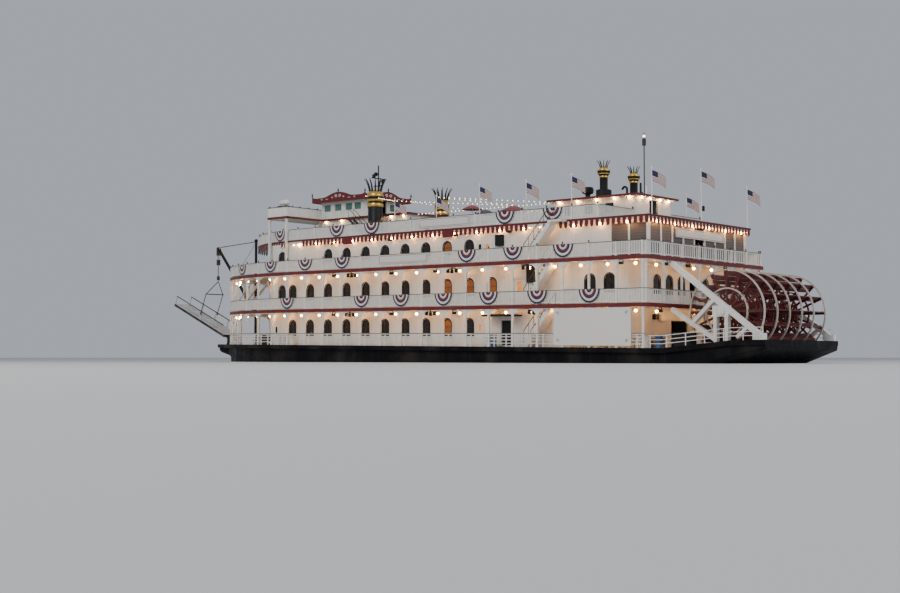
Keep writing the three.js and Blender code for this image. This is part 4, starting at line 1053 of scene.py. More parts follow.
piece("roof_bulbs", [
    mirrored(repeated(SMALL_BULB, lifted(small, -0.1)), repeated(LARGE_BULB, lifted(large, -0.14))),
    repeated(SMALL_BULB, stern[:, :3] - [0.15, -TOOTH_PITCH / 2, SLAB]), repeated(LARGE_BULB, stern_large),
], LAMP, smooth=True)
print("fringe made")

# %% [markdown]
# ## The paddle wheel
#
# The wheel turns as one body, so all its pieces ride on it. Each of the six frames has sixteen
# arms and two rims. The buckets are pairs of planks clamped to the arms, and run the full width.

# %% Wheel sizes and helpers
WHEEL_CENTRE = np.array([4.2, 0.0, 3.7])
WHEEL_RADIUS, WHEEL_INNER, WHEEL_HALF = 3.03, 1.71, 4.6
WHEEL_FRAMES, WHEEL_ARMS = 6, 16
SHAFT_RADIUS, SHAFT_HALF, HUB_RADIUS, TRUSS_OUTER = 0.2, 5.5, 0.46, 5.5
FRAME_PLACES = [(0.0, y, 0.0) for y in np.linspace(-WHEEL_HALF, WHEEL_HALF, WHEEL_FRAMES)]
ARM_ANGLES = np.arange(WHEEL_ARMS) * 2 * np.pi / WHEEL_ARMS
PLANKS = [(2.22, 2.5), (2.56, 2.93)]


def on_axle(points):
    """Row-frame metres of points about the wheel's centre."""
    return level(np.asarray(points) + WHEEL_CENTRE)


def spun(shape, angles=ARM_ANGLES):
    """Copies of a shape turned about the axle: (x cos a - z sin a, y, x sin a + z cos a)."""
    return repeated(shape, turns=angles, plane=(0, 2))


def axle_rod(radius, y0, y1, steps=20):
    """A round bar along the axle, its ends closed."""
    return plate(circle(radius, steps), y0, y1)


def rim(radius, half):
    """A flat ring about the axle."""
    return band(circle(radius - 0.1, 48), circle(radius, 48), -half, half)


print("wheel:", WHEEL_FRAMES, "frames of", WHEEL_ARMS, "arms")

# %% Wheel and bearings
ARM = box(HUB_RADIUS - 0.1, WHEEL_RADIUS - 0.05, -0.05, 0.05, -0.07, 0.07)
CLAMP = box(-0.03, 0.03, -0.075, 0.075, -0.03, 0.185)
BOLT = box(0.36, 0.42, -0.085, 0.085, -0.03, 0.03)
buckets = stacked([box(r0, r1, -WHEEL_HALF - 0.12, WHEEL_HALF + 0.12, 0.075, 0.14) for r0, r1 in PLANKS])
clamps = repeated(CLAMP, [((r0 + r1) / 2, 0.0, 0.0) for r0, r1 in PLANKS])
hub = stacked([axle_rod(HUB_RADIUS, -0.06, 0.06), axle_rod(0.3, -0.12, 0.12, 16)])
inner_rim = rim(WHEEL_INNER, 0.075)
frames = [
    repeated(stacked([spun(ARM), hub]), FRAME_PLACES), spun(buckets), repeated(inner_rim, FRAME_PLACES[1:]),
]
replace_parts(piece("wheel_frames", frames, WHEEL, "wheel", on_axle), "paddle_wheel")
rims = [repeated(rim(WHEEL_RADIUS, 0.055), FRAME_PLACES), repeated(inner_rim, FRAME_PLACES[:1])]
piece("wheel_rims", rims, RIM, "wheel", on_axle, smooth=True)
clamp_set = stacked([spun(clamps), spun(BOLT, ARM_ANGLES[::2] + 0.2)])
piece("wheel_clamps", repeated(clamp_set, FRAME_PLACES), STEEL, "wheel", on_axle)
shaft = axle_rod(SHAFT_RADIUS, -SHAFT_HALF, SHAFT_HALF)
piece("wheel_shaft", shaft, STEEL, "wheel", on_axle, smooth=True)
covers = mirrored(
    plate(circle(0.36, 24), TRUSS_OUTER + 0.012, TRUSS_OUTER + 0.12),
    plate(circle(0.2, 20), TRUSS_OUTER + 0.1, TRUSS_OUTER + 0.16),
    spun(box(0.26, 0.31, TRUSS_OUTER + 0.1, TRUSS_OUTER + 0.16, -0.03, 0.03), ARM_ANGLES[::2]),
)
piece("bearing_covers", covers, TRIM, place=on_axle)
print("wheel and bearing covers made")

# %% [markdown]
# ## Chimneys
#
# Each chimney is a black column with gilded bands and dome, and a crown of curved fingers. The
# table gives its station, half gap, crown, column profile and gilded rings.


# %% Chimney parts
def finger(foot, waist, tip, width, depth, steps=6):
    """A tapering blade curving from the foot out to the tip, in its own (r, z) plane.

    The middle line is a quadratic curve through foot, pulled by waist, to tip; its width falls
    with the distance along it."""
    t = np.linspace(0.0, 1.0, steps)[:, None]
    foot, waist, tip = (np.array([p[0], 0.0, p[1]]) for p in (foot, waist, tip))
    line = (1 - t) ** 2 * foot + 2 * t * (1 - t) * waist + t**2 * tip
    ahead = np.gradient(line, axis=0)
    ahead /= np.linalg.norm(ahead, axis=1, keepdims=True)
    taper = (1 - 0.75 * t**1.5) / 2
    side = np.array([0.0, 1.0, 0.0]) * taper * width
    out = np.stack([-ahead[:, 2], ahead[:, 1], ahead[:, 0]], 1) * taper * depth
    points = np.stack([line - side - out, line + side - out, line + side + out, line - side + out], 1)
    caps = np.arange(4) + [[0], [4 * (steps - 1)]]
    return points.reshape(-1, 3), [grid_faces(steps, 4), caps]


def crown(count, foot, waist, tip, width, depth):
    """Fingers all round, with a small ball on each tip."""
    knob = repeated(ball(width * 0.3, 6, 4), (tip[0], 0.0, tip[1]))
    one = stacked([finger(foot, waist, tip, width, depth), knob])
    return repeated(one, turns=(np.arange(count) + 0.5) * 2 * np.pi / count)


print("crown helpers ready")

# %% Chimneys
CHIMNEYS = {
    "fore": (
        -31.75, 4.45, crown(12, (0.52, 14.86), (0.6, 15.7), (0.98, 16.15), 0.16, 0.09),
        [(0.0, 10.8), (0.8, 10.8), (0.8, 11.05), (0.7, 11.12), (0.66, 11.14), (0.66, 13.95), (0.62, 14.0),
         (0.62, 14.1), (0.69, 14.3), (0.69, 14.56), (0.5, 14.7), (0.5, 14.95), (0.0, 14.95)],
        [[(0.6, 13.62), (0.7, 13.64), (0.74, 13.72), (0.74, 13.88), (0.7, 13.96), (0.6, 13.98)],
         [(0.6, 14.12), (0.7, 14.14), (0.74, 14.2), (0.74, 14.3), (0.68, 14.36), (0.6, 14.36)],
         [(0.6, 14.56), (0.74, 14.58), (0.76, 14.66), (0.72, 14.8), (0.6, 15.02), (0.42, 15.15),
          (0.3, 15.15), (0.3, 14.9)]],
    ),
    "aft": (
        -8.18, 2.11, crown(10, (0.26, 15.24), (0.3, 15.72), (0.54, 15.95), 0.09, 0.05),
        [(0.0, 13.08), (0.58, 13.08), (0.62, 13.12), (0.62, 13.6), (0.46, 13.66), (0.34, 13.68), (0.32, 13.7),
         (0.32, 14.66), (0.36, 14.74), (0.5, 14.98), (0.5, 15.16), (0.3, 15.2), (0.0, 15.2)],
        [[(0.3, 14.58), (0.36, 14.6), (0.38, 14.66), (0.36, 14.72), (0.3, 14.72)],
         [(0.3, 14.84), (0.47, 14.86), (0.49, 14.92), (0.47, 14.96), (0.3, 14.98)],
         [(0.3, 15.14), (0.53, 15.14), (0.53, 15.19), (0.38, 15.22), (0.34, 15.36), (0.2, 15.48),
          (0.1, 15.48), (0.1, 15.2)]],
    ),
}
for side, sign in SIDES:
    for which, (station, half_gap, fingers, column, gold) in CHIMNEYS.items():
        here = (station, sign * half_gap, 0.0)
        dark = [repeated(turned(column, 32), here), repeated(fingers, here)]
        made = piece(f"{which}_chimney_{side}_column", dark, BLACK, smooth=True)
        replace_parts(made, f"{which}_stack_{side}")
        rings = [repeated(turned(ring, 32), here) for ring in gold]
        piece(f"{which}_chimney_{side}_gilding", rings, GOLD, smooth=True)
print("chimneys made")

# %% [markdown]
# ## Pilothouse and bridge
#
# The pilothouse roof has a sawn board along each edge: low along the sides, raised to a soft peak
# in the middle, and turned up at the corners. White scrolls are carved on it.

# %% Cresting boards
PILOT_FRONT, PILOT_AFT, PILOT_HALF, PILOT_ROOF = -41.2, -35.4, 2.45, 14.85
ROOF_FRONT, ROOF_END, ROOF_SIDE = -41.9, -34.55, 3.07


def crest_board(half, steps=40):
    """A thick board (x, z): level below; above, 0.36 + corner curl + bell + waves."""
    x = np.linspace(-half, half, steps)
    t = x / half
    hump = 0.4 * np.exp(-((t / 0.42) ** 4))
    waves = 0.06 * np.cos(3 * np.pi * t) * (1 - np.abs(t))
    top = np.stack([x, 0.36 + 0.16 * np.abs(t) ** 14 + hump + waves], 1)
    return band(np.stack([x, np.full(steps, -0.06)], 1), top, -0.03, 0.03, closed=False)


def scroll(radius, turns, width, steps=18):
    """A flat spiral ribbon in the (x, z) plane: r falls evenly as the angle grows."""
    t = np.linspace(0.0, 1.0, steps)
    angle, r = t * turns * 2 * np.pi, radius * (1 - 0.8 * t)
    ray = np.stack([np.cos(angle), np.sin(angle)])
    return band(((r - width) * ray).T, (r * ray).T, -0.012, 0.012, closed=False)


def carving(half):
    """The scrolls and short bars on one board's outer face, the same to the left and right."""
    return mirrored(
        repeated(scroll(0.2, 1.4, 0.045), (0.26, -0.042, 0.42)),
        repeated(scroll(0.12, 1.2, 0.035), [(0.78, -0.042, 0.3), (half * 0.62, -0.042, 0.2)]),
        repeated(box(-0.16, 0.16, -0.012, 0.012, -0.02, 0.02), (half * 0.42, -0.042, 0.2)),
        signs=(-1, 1, 1),
    )


mid_roof, long_half = (ROOF_FRONT + ROOF_END) / 2, (ROOF_END - ROOF_FRONT) / 2
long_rows = on_sides([mid_roof], ROOF_SIDE, PILOT_ROOF)
end_rows = [(ROOF_FRONT, 0.0, PILOT_ROOF, FACE_FORWARD), (ROOF_END, 0.0, PILOT_ROOF, FACE_AFT)]
boards, scrolls = [], []
for half, rows in ((long_half, long_rows), (ROOF_SIDE, end_rows)):
    boards.append(repeated(crest_board(half), rows))
    scrolls.append(repeated(carving(half), rows))
piece("pilothouse_cresting", boards, RED)
piece("pilothouse_scrolls", scrolls, TRIM)
FINIAL = turned([(0.0, 0.0), (0.05, 0.0), (0.05, 0.05), (0.03, 0.08), (0.09, 0.16), (0.05, 0.26),
                 (0.015, 0.42), (0.0, 0.42)], 10)
finials = [(x, y, PILOT_ROOF + 0.5) for x in (ROOF_FRONT, ROOF_END) for y in (-ROOF_SIDE, ROOF_SIDE)]
finials += [(mid_roof, -ROOF_SIDE, PILOT_ROOF + 0.78), (ROOF_END, 0.0, PILOT_ROOF + 0.78)]
piece("pilothouse_finials", repeated(FINIAL, finials), BLACK, smooth=True)
print("cresting made")

# %% Pilothouse windows, wing edges and posts
BRIDGE_TOP, PANE_HEIGHT = 13.15, 0.75


def square_window(width, height):
    """Casing and sash of a plain window."""
    casing = band(upright(width, height, -0.004), upright(width, height, 0.06), -0.025, 0.004)
    sash = band(upright(width, height, -0.05), upright(width, height, 0.004), 0.04, 0.09)
    return stacked([casing, sash])


pane_low = BRIDGE_TOP + 0.75
rows = on_sides((-40.4, -38.9, -37.4, -36.2), PILOT_HALF, pane_low)
front_rows = on_end((-1.075, 1.075), PILOT_FRONT, pane_low, FACE_FORWARD)
aft_rows = on_end((-1.5, 1.5), PILOT_AFT, pane_low, FACE_AFT)
aft_frame = band(upright(1.0, PANE_HEIGHT, -0.05), upright(1.0, PANE_HEIGHT, 0.06), -0.025, 0.004)
piece("pilothouse_frames", [
    repeated(square_window(1.0, PANE_HEIGHT), rows), repeated(square_window(1.85, PANE_HEIGHT), front_rows),
    repeated(aft_frame, aft_rows),
], TRIM)
piece("pilothouse_glass", [
    repeated(box(-0.46, 0.46, 0.058, 0.072, 0.03, PANE_HEIGHT - 0.03), rows),
    repeated(box(-0.89, 0.89, 0.058, 0.072, 0.03, PANE_HEIGHT - 0.03), front_rows),
    repeated(box(-0.45, 0.45, -0.012, 0.004, 0.03, PANE_HEIGHT - 0.03), aft_rows),
], GREEN_PANE)

WING_FRONT, WING_AFT, WING_HALF, BRIDGE_HALF, TEXAS_AFT, TEXAS_HALF = -43.3, -40.5, 7.42, 3.1, -29.2, 2.9
edge_z = (BRIDGE_TOP - 0.22, BRIDGE_TOP)
wing_edges = [
    mirrored(
        box(WING_FRONT - 0.03, WING_AFT + 0.03, WING_HALF, WING_HALF + 0.03, *edge_z),
        box(WING_AFT, WING_AFT + 0.03, BRIDGE_HALF, WING_HALF + 0.03, *edge_z),
        box(WING_AFT, TEXAS_AFT + 0.33, BRIDGE_HALF, BRIDGE_HALF + 0.03, *edge_z),
    ),
    box(WING_FRONT - 0.03, WING_FRONT, -WING_HALF, WING_HALF, *edge_z),
    box(TEXAS_AFT + 0.3, TEXAS_AFT + 0.33, -BRIDGE_HALF, BRIDGE_HALF, *edge_z),
]
piece("bridge_edges", wing_edges, RED)
half_wing = [(WING_AFT, -BRIDGE_HALF), (WING_AFT, -WING_HALF), (WING_FRONT, -WING_HALF)]
parapet = np.array([(x, y, BRIDGE_TOP + 0.9) for x, y in half_wing + [(x, -y) for x, y in half_wing[::-1]]])
piece("bridge_handrail", rods(parapet[:-1], parapet[1:], 0.035, 6), HANDRAIL)
print("bridge finished")

# %% [markdown]
# ## Bunting, banners, flags and canvas
#
# Each cloth is worked out as a grid of points from its own cut, and given a thin closed
# thickness. The cut runs from 0 to 1 both ways and carries the pattern.

# %% Cloth helpers
CLOTH_THICK = 0.006


def cloth_layers(points, cut, wrapped=False):
    """A grid made a thin closed sheet: two layers, half a thickness off along the normal, and a rim."""
    rows, columns = points.shape[:2]
    normal = np.cross(np.gradient(points, axis=0), np.gradient(points, axis=1))
    normal /= np.linalg.norm(normal, axis=2, keepdims=True)
    if wrapped:
        points, normal, cut = points[:, :-1], normal[:, :-1], cut[:, :-1]
        columns -= 1
    layers = np.concatenate([(points + normal * side * CLOTH_THICK / 2).reshape(-1, 3) for side in (1, -1)])
    count = rows * columns
    index = np.arange(count).reshape(rows, columns)
    front = grid_faces(rows, columns, wrap_columns=wrapped)
    rim = np.concatenate([index[0, :-1], index[:-1, -1], index[-1, :0:-1], index[:0:-1, 0]])
    loops = [index[0], index[-1][::-1]] if wrapped else [rim]
    rims = [np.stack([a, a + count, np.roll(a, -1) + count, np.roll(a, -1)], 1) for a in loops]
    return (layers, [front, front[:, ::-1] + count, *rims]), np.tile(cut.reshape(-1, 2), (2, 1))


def hang(name, grid, cut, row, material, flat, held, on, wrapped=False, own_area=False):
    """Places one cloth and scales the size it was cut to, which nothing then uses; own_area is not used."""
    shape, uv = cloth_layers(grid, cut, wrapped)
    made = piece(name, repeated(shape, row), material, smooth=True, uv=uv)
    flat = tuple(np.array(flat) * SCALE)


def grid_of(rows, columns):
    """Two arrays that run 0 to 1 across and down a grid, and both together as the cut."""
    v, u = np.meshgrid(np.linspace(0.0, 1.0, rows), np.linspace(0.0, 1.0, columns), indexing="ij")
    return u, v, np.stack([u, v], 2)


def spot_on(name, sign, station):
    """The place on a gallery's rail at a station, and the heading there turned to face outwards."""
    line = rail_line(name, sign)
    line = line[np.argsort(line[:, 0], kind="stable")]
    before, y, after = np.interp([station - 0.05, station, station + 0.05], line[:, 0], line[:, 1])
    turn = math.atan((after - before) / 0.1) + (FACE_PORT if sign < 0 else FACE_STARBOARD)
    return station, y, line[0, 2], turn


print("cloth helpers ready")

# %% Bunting fans on the rails
FAN_RADIUS, FAN_PLEATS, FAN_OUT = 0.95, 13, 0.1
FANS = {
    "deck_4": (-42.05, -33.8, -29.3, -14.1, -9.3),
    "deck_3": (-47.5, -41.8, -36.7, -31.8, -17.1, -12.3, -7.4),
    "deck_2": (-39.2, -29.3, -24.5, -19.65, -14.8, -9.9, -5.0),
}


def fan_grid():
    """Half a disc below a level edge, r from its knot to its rim, pleated: depth = wave(angle) r."""
    angle, r, _ = grid_of(8, 79)
    r = 0.07 + 0.93 * r
    turn = angle * np.pi
    wave = np.cos(2 * FAN_PLEATS * turn)
    fall = np.sin(turn) * (1 + 0.05 * r * np.sin(turn) + 0.015 * r * wave)
    out, down = -FAN_OUT - 0.012 + 0.012 * r * wave, RAIL_HEIGHT - 0.03 - FAN_RADIUS * r * fall
    return np.stack([FAN_RADIUS * r * np.cos(turn), out, down], 2), np.stack([r, angle], 2)


for name, stations in FANS.items():
    for number, station in enumerate(stations):
        for side, sign in SIDES:
            hang(f"bunting_{name}_{number}_{side}", *fan_grid(), spot_on(name, sign, station), BUNTING,
                 (2 * FAN_RADIUS, 1.08 * FAN_RADIUS), "gathered", [f"{name}_{side}_balustrade"],
                 own_area=True)
print("bunting fans:", 2 * sum(len(stations) for stations in FANS.values()))

# %% Blank banners
BANNERS = [("deck_4", -20.725, 5.75, 0.78), ("deck_3", -24.3, 5.8, 0.74)]
STERN_BANNER = (6.94, 0.72)


def banner_grid(length, depth, out, top):
    """A laced banner: (x, shallow waves, -z), its lower edge a little wavier."""
    u, v, cut = grid_of(7, 61)
    ripple = 0.01 * np.sin(9 * np.pi * u) * (0.4 + v) + 0.006 * np.sin(23 * np.pi * u + 3 * v)
    fall = v * depth + 0.012 * np.sin(np.pi * 6 * u) ** 2 * (1 - v)
    return np.stack([(u - 0.5) * length, out + ripple, top - fall], 2), cut


for name, station, *size in BANNERS:
    for side, sign in SIDES:
        sheet = banner_grid(*size, -0.115, RAIL_HEIGHT - 0.06)
        hang(f"banner_{name}_{side}", *sheet, spot_on(name, sign, station), BANNER, size, "stretched",
             [f"{name}_{side}_balustrade"])
hang("banner_stern", *banner_grid(*STERN_BANNER, -0.065, 0.0), (PORCH_AFT, 0.0, 10.12, FACE_AFT), BANNER,
     STERN_BANNER, "stretched", ["deck_3_wall_aft"])
print("banners made")

# %% Flagpoles and flags
POLE_LINE = 7.12
SHARED_POLES = [(-26.6, 13.65), (-21.7, 13.63), (-16.9, 14.18), (-12.05, 14.11)]
SIDE_POLES = {-1: [*SHARED_POLES, (-7.6, 14.24)], 1: [*SHARED_POLES, (-6.3, 13.85)]}
STERN_POLES = [(-0.42, -7.05, 14.11), (-0.6, 7.05, 14.07), (-0.66, 0.13, 14.8)]
FLAG_LENGTH, FLAG_DEPTH, FLAG_DROOP, WIND = 1.15, 0.78, math.radians(31), math.radians(28)
LANTERN_PROFILE = [(0.0, 0.0), (0.1, 0.02), (0.12, 0.1), (0.1, 0.3), (0.0, 0.3)]
LANTERN_CAP = [(0.0, 0.3), (0.15, 0.3), (0.06, 0.42), (0.0, 0.44)]


def flag_grid(phase):
    """A drooping flag: x runs down the wind, z falls with it, and waves grow towards the fly."""
    u, v, _ = grid_of(10, 25)
    wave = 0.07 * u * np.sin(2.2 * np.pi * u + 1.5 * v + phase)
    x = FLAG_LENGTH * u * math.cos(FLAG_DROOP) + 0.03 * v * u
    z = -FLAG_DEPTH * v - FLAG_LENGTH * u * math.sin(FLAG_DROOP) * (0.55 + 0.45 * u)
    return np.stack([x + 0.03, wave, z], 2), np.stack([u, 1.0 - v], 2)


poles = [(x, sign * POLE_LINE, top) for sign, row in SIDE_POLES.items() for x, top in row] + STERN_POLES
tops = np.array(poles)
feet = tops * [1, 1, 0] + [0.0, 0.0, DECK_4_TOP + 0.003]
masts = piece("flagpoles", [rods(feet, tops, 0.045, 8, 0.03), repeated(ball(0.07), tops)], TRIM, smooth=True)
truck = turned([(0.0, 0.05), (0.045, 0.07), (0.03, 0.12), (0.0, 0.2)], 8)
piece("flagpole_trucks", repeated(truck, tops), GOLD, smooth=True)
for number, (x, y, top) in enumerate(poles):
    hang(f"flag_{number}", *flag_grid(number * 1.7), (x, y, top - 0.1, WIND), FLAG, (FLAG_LENGTH, FLAG_DEPTH),
         "hung", [masts])
lantern = stacked([turned(LANTERN_PROFILE, 12), turned(LANTERN_CAP, 12)])
piece("stern_lantern", repeated(lantern, (-0.66, 0.42, 11.65)), BLACK, smooth=True)
print("flags:", len(poles))

# %% Umbrellas on the top deck
RIBS = 8
UMBRELLAS = [
    (-20.45, -4.0, 13.1, 0.95, CANOPY), (-15.9, -4.0, 12.75, 1.25, CANOPY),
    (-18.6, -4.4, 12.55, 0.95, DARK_CANOPY),
]
UMBRELLA_FOOT = turned([(0.0, 0.0), (0.3, 0.0), (0.3, 0.06), (0.06, 0.12), (0.0, 0.12)], 16)
UMBRELLA_TABLE = turned([(0.0, 0.0), (0.55, 0.0), (0.55, 0.04), (0.0, 0.04)], 20)


def umbrella_grid(radius, rise):
    """A shallow cone on ribs: between them the cloth is drawn in, r (1 - dip), and hangs lower."""
    angle, r, cut = grid_of(8, 8 * RIBS + 1)
    r = 0.05 + 0.95 * r
    turn = angle * 2 * np.pi
    dip = 1 - np.abs(np.cos(RIBS / 2 * turn))
    reach = radius * r * (1 - 0.07 * dip * r)
    return np.stack([reach * np.cos(turn), reach * np.sin(turn), -rise * r**1.35 - 0.035 * dip * r], 2), cut


stems, knobs = [], []
for number, (x, y, top, radius, canvas) in enumerate(UMBRELLAS):
    hang(f"umbrella_{number}", *umbrella_grid(radius, 0.42 * radius), (x, y, top), canvas,
         (2 * radius, 2 * radius), "stretched", ["umbrella_stems"], wrapped=True, own_area=True)
    foot, hub = (x, y, DECK_4_TOP + 0.003), np.array([x, y, top - 0.55 * radius])
    ribs = circle(0.9 * radius, RIBS)
    ends = np.insert(ribs, 2, -0.4 * radius, 1) + [x, y, top]
    stems += [
        rods([foot], [(x, y, top + 0.02)], 0.03), rods(np.tile(hub, (RIBS, 1)), ends, 0.01, 4),
        repeated(UMBRELLA_FOOT, foot), repeated(UMBRELLA_TABLE, (x, y, DECK_4_TOP + 0.74)),
    ]
    knobs.append(repeated(ball(0.05), (x, y, top + 0.04)))
piece("umbrella_stems", stems, TRIM, smooth=True)
piece("umbrella_knobs", knobs, GOLD, smooth=True)
print("umbrellas made")

# %% [markdown]
# ## Stairs, ladders and loose gear
#
# Handrails follow the stairs at a fixed height. The rest stands on the decks: a rail round the
# stern deck, drums, pipes on the after house, and the lights under the deck edges.

# %% Stair handrails and the pilothouse ladder
STAIR_FOOT, STAIR_HEAD, STAIR_SIDES, HAND_HEIGHT = -11.5, -9.05, (7.31, 8.14), 0.95
FLIGHTS = [(MAIN_TOP, DECK_2_TOP), (DECK_2_TOP, DECK_3_TOP), (DECK_3_TOP, DECK_4_TOP)]


def sloping_rail(start, end, count, thick):
    """A handrail from start to end, on count upright posts."""
    feet, up = np.linspace(start, end, count), [0.0, 0.0, HAND_HEIGHT]
    return stacked([rods(feet[:1] + up, feet[-1:] + up, thick, 6), rods(feet, feet + up, 0.6 * thick, 6)])


handrails = mirrored(*[
    sloping_rail((STAIR_FOOT, y, low + 0.3), (STAIR_HEAD, y, high - 0.02), 6, 0.035)
    for low, high in FLIGHTS for y in STAIR_SIDES
])
piece("stair_handrails", handrails, HANDRAIL, smooth=True)

BOW_Y, BOW_STEPS = (2.4, 3.5), 13
foot, head = np.array([[-52.7, 0.0, DECK_2_TOP + 0.01], [-49.15, 0.0, DECK_3_TOP - SLAB - 0.03]])
run, _, rise = step = (head - foot) / BOW_STEPS
tread = box(0.0, 1.1 * run, *BOW_Y, 0.85 * rise, rise - 0.03)
steps = repeated(tread, foot + np.arange(BOW_STEPS - 1)[:, None] * step)
strings = [beams(foot + [0.0, y, 0.15], head + [0.0, y, -0.02], 0.06, 0.28) for y in BOW_Y]
piece("bow_stairs", mirrored(steps, *strings), TRIM)
rails = [sloping_rail(foot + [0.2, y, 0.3], head + [-0.9, y, -0.75], 4, 0.03) for y in BOW_Y]
piece("bow_stair_handrails", mirrored(*rails), HANDRAIL, smooth=True)

LADDER_Y = (3.22, 3.86)
foot, head = np.array([[-33.3, 0.0, DECK_4_TOP + 0.03], [-35.95, 0.0, 12.9]])
rungs = foot + np.linspace(0.06, 0.96, 9)[:, None] * (head - foot)
ladder = [repeated(box(-0.13, 0.13, *LADDER_Y, -0.02, 0.02), rungs)]
for y in LADDER_Y:
    aside = [0.0, y, 0.0]
    ladder.append(beams(head + aside, foot + aside, 0.06, 0.2))
    ladder.append(sloping_rail(foot + aside, head + aside, 4, 0.03))
piece("pilothouse_ladders", mirrored(*ladder), STEEL)
print("stair rails and ladders made")

# %% Lamps, bulbs and strings of light on the top deck
HOUSE_ROOF, HOUSE_EDGE, TEXAS_ROOF, UMBRELLA_TOP = 12.9, -13.28, BRIDGE_TOP - 0.2, (-15.9, -4.0, 12.8)
house_lamps = [
    *on_sides((-12.2, -10.4, -8.5, -6.8, -5.4), HOUSE_HALF + 0.16, HOUSE_ROOF - 0.1)[:, :3],
    *on_end((-1.9, -0.7, 0.7, 1.9), HOUSE_END + 0.18, HOUSE_ROOF - 0.1, 0.0)[:, :3],
    *on_sides((-40.0, -37.8, -33.4, -31.2, -29.6), TEXAS_HALF + 0.1, TEXAS_ROOF - 0.09)[:, :3],
]
piece("house_lamps", repeated(ball(0.09), house_lamps), LAMP, smooth=True)


def bulbs_between(start, end, pitch=0.45):
    """Places on a straight wire, one each pitch, a little below it."""
    span = np.array(end) - start
    share = np.arange(0.5 * pitch, np.linalg.norm(span), pitch)[:, None] / np.linalg.norm(span)
    return start + span * share - [0.0, 0.0, 0.04]


runs = []
for sign in (-1, 1):
    first, second = [(x, sign * POLE_LINE, top - 0.02) for x, top in SIDE_POLES[sign][:2]]
    house_edge = (HOUSE_EDGE, sign * HOUSE_HALF, HOUSE_ROOF + 0.1)
    runs += [
        ((ROOF_END, sign * ROOF_SIDE, PILOT_ROOF + 0.2), first),
        (first, UMBRELLA_TOP if sign < 0 else house_edge), (second, house_edge),
        ((TEXAS_AFT + 0.31, sign * 2.0, TEXAS_ROOF + 0.1), (HOUSE_EDGE, sign * 2.0, HOUSE_ROOF + 0.1)),
    ]
    if sign < 0:
        runs.append((second, UMBRELLA_TOP))
starts, finishes = zip(*runs)
piece("festoon_wires", rods(starts, finishes, 0.008, 4), STEEL)
places = np.concatenate([bulbs_between(*run) for run in runs])
piece("festoon_bulbs", repeated(ball(0.035, 6, 4), places), BULB, smooth=True)
print("strings of light:", len(runs))

# %% Floodlights under the deck edges
SMALL_FLOODS = {
    "deck_4": (-34.4, -27.1, -19.4, -13.7), "deck_3": (-32.9, -25.7, -20.6, -2.2),
    "deck_2": (-32.9, -25.7, -18.5),
}
BIG_FLOODS = {"deck_3": (-30.8, -18.9, -11.0), "deck_2": (-31.0, -21.3, -10.4)}
FLOOD = stacked([
    box(-0.16, 0.16, -0.14, 0.06, -0.36, -0.16), box(-0.19, 0.19, -0.06, 0.0, -0.03, 0.0),
    mirrored(box(0.16, 0.19, -0.06, 0.0, -0.3, 0.0), signs=(-1, 1, 1)),
])
CAN = turned([(0.0, 0.0), (0.13, 0.0), (0.15, -0.3), (0.13, -0.3), (0.0, -0.24)], 12)
BIG_FLOOD = stacked([
    box(-0.6, 0.6, -0.04, 0.04, -0.14, -0.08), box(-0.04, 0.04, -0.04, 0.04, -0.1, 0.0),
    repeated(CAN, [(-0.45, 0.0, -0.12), (0.0, 0.0, -0.16), (0.45, 0.0, -0.12)]),
])
STERN_FLOODS = [(DECK_3_TOP, (-5.75, -2.7, 2.7, 5.75)), (DECK_2_TOP, (-6.5, 6.5))]


def under_edge(shape, table, inset):
    """The fixture hung under deck edges at the stations of a table, on both sides."""
    return stacked([
        repeated(shape, on_sides(stations, GALLERIES[name]["half"] - inset, GALLERIES[name]["floor"] - SLAB))
        for name, stations in table.items()
    ])


floods = [under_edge(FLOOD, SMALL_FLOODS, 0.12), under_edge(BIG_FLOOD, BIG_FLOODS, 0.25)]
floods += [repeated(FLOOD, on_end(ys, -0.16, top - SLAB, FACE_AFT)) for top, ys in STERN_FLOODS]
piece("floodlights", floods, BLACK)
shades = mirrored(
    box(-15.22, -14.38, 7.004, 7.2, DECK_3_TOP + 1.36, DECK_3_TOP + 2.26),
    box(-12.01, -11.29, 7.004, 7.2, DECK_2_TOP + 1.78, DECK_2_TOP + 2.97),
)
piece("shade_boxes", shades, BLACK)
NARROW = {"dark": [(-16.95, 8.8), (-42.4, 2.2)], "lit": [(-16.18, 8.8), (-16.95, 2.3)]}
narrow = band(upright(0.36, 0.62, -0.03), upright(0.36, 0.62, 0.03), -0.03, 0.003)
for (kind, spots), glass in zip(NARROW.items(), (DARK_PANE, LIT_PANE)):
    rows = np.concatenate([on_sides([x], CABIN_HALF, low) for x, low in spots])
    piece(f"small_window_frames_{kind}", repeated(narrow, rows), TRIM)
    piece(f"small_windows_{kind}", repeated(box(-0.16, 0.16, -0.02, 0.003, 0.02, 0.6), rows), glass)
stiles = [box(x - 0.04, x + 0.04, 7.003, 7.09, MAIN_TOP + 0.02, MAIN_TOP + 2.36) for x in (-16.4, -14.78)]
board = box(-16.4, -14.78, 7.003, 7.06, MAIN_TOP + 0.05, MAIN_TOP + 2.3)
piece("side_panels", mirrored(board, *stiles), TRIM)
print("floodlights and small windows made")

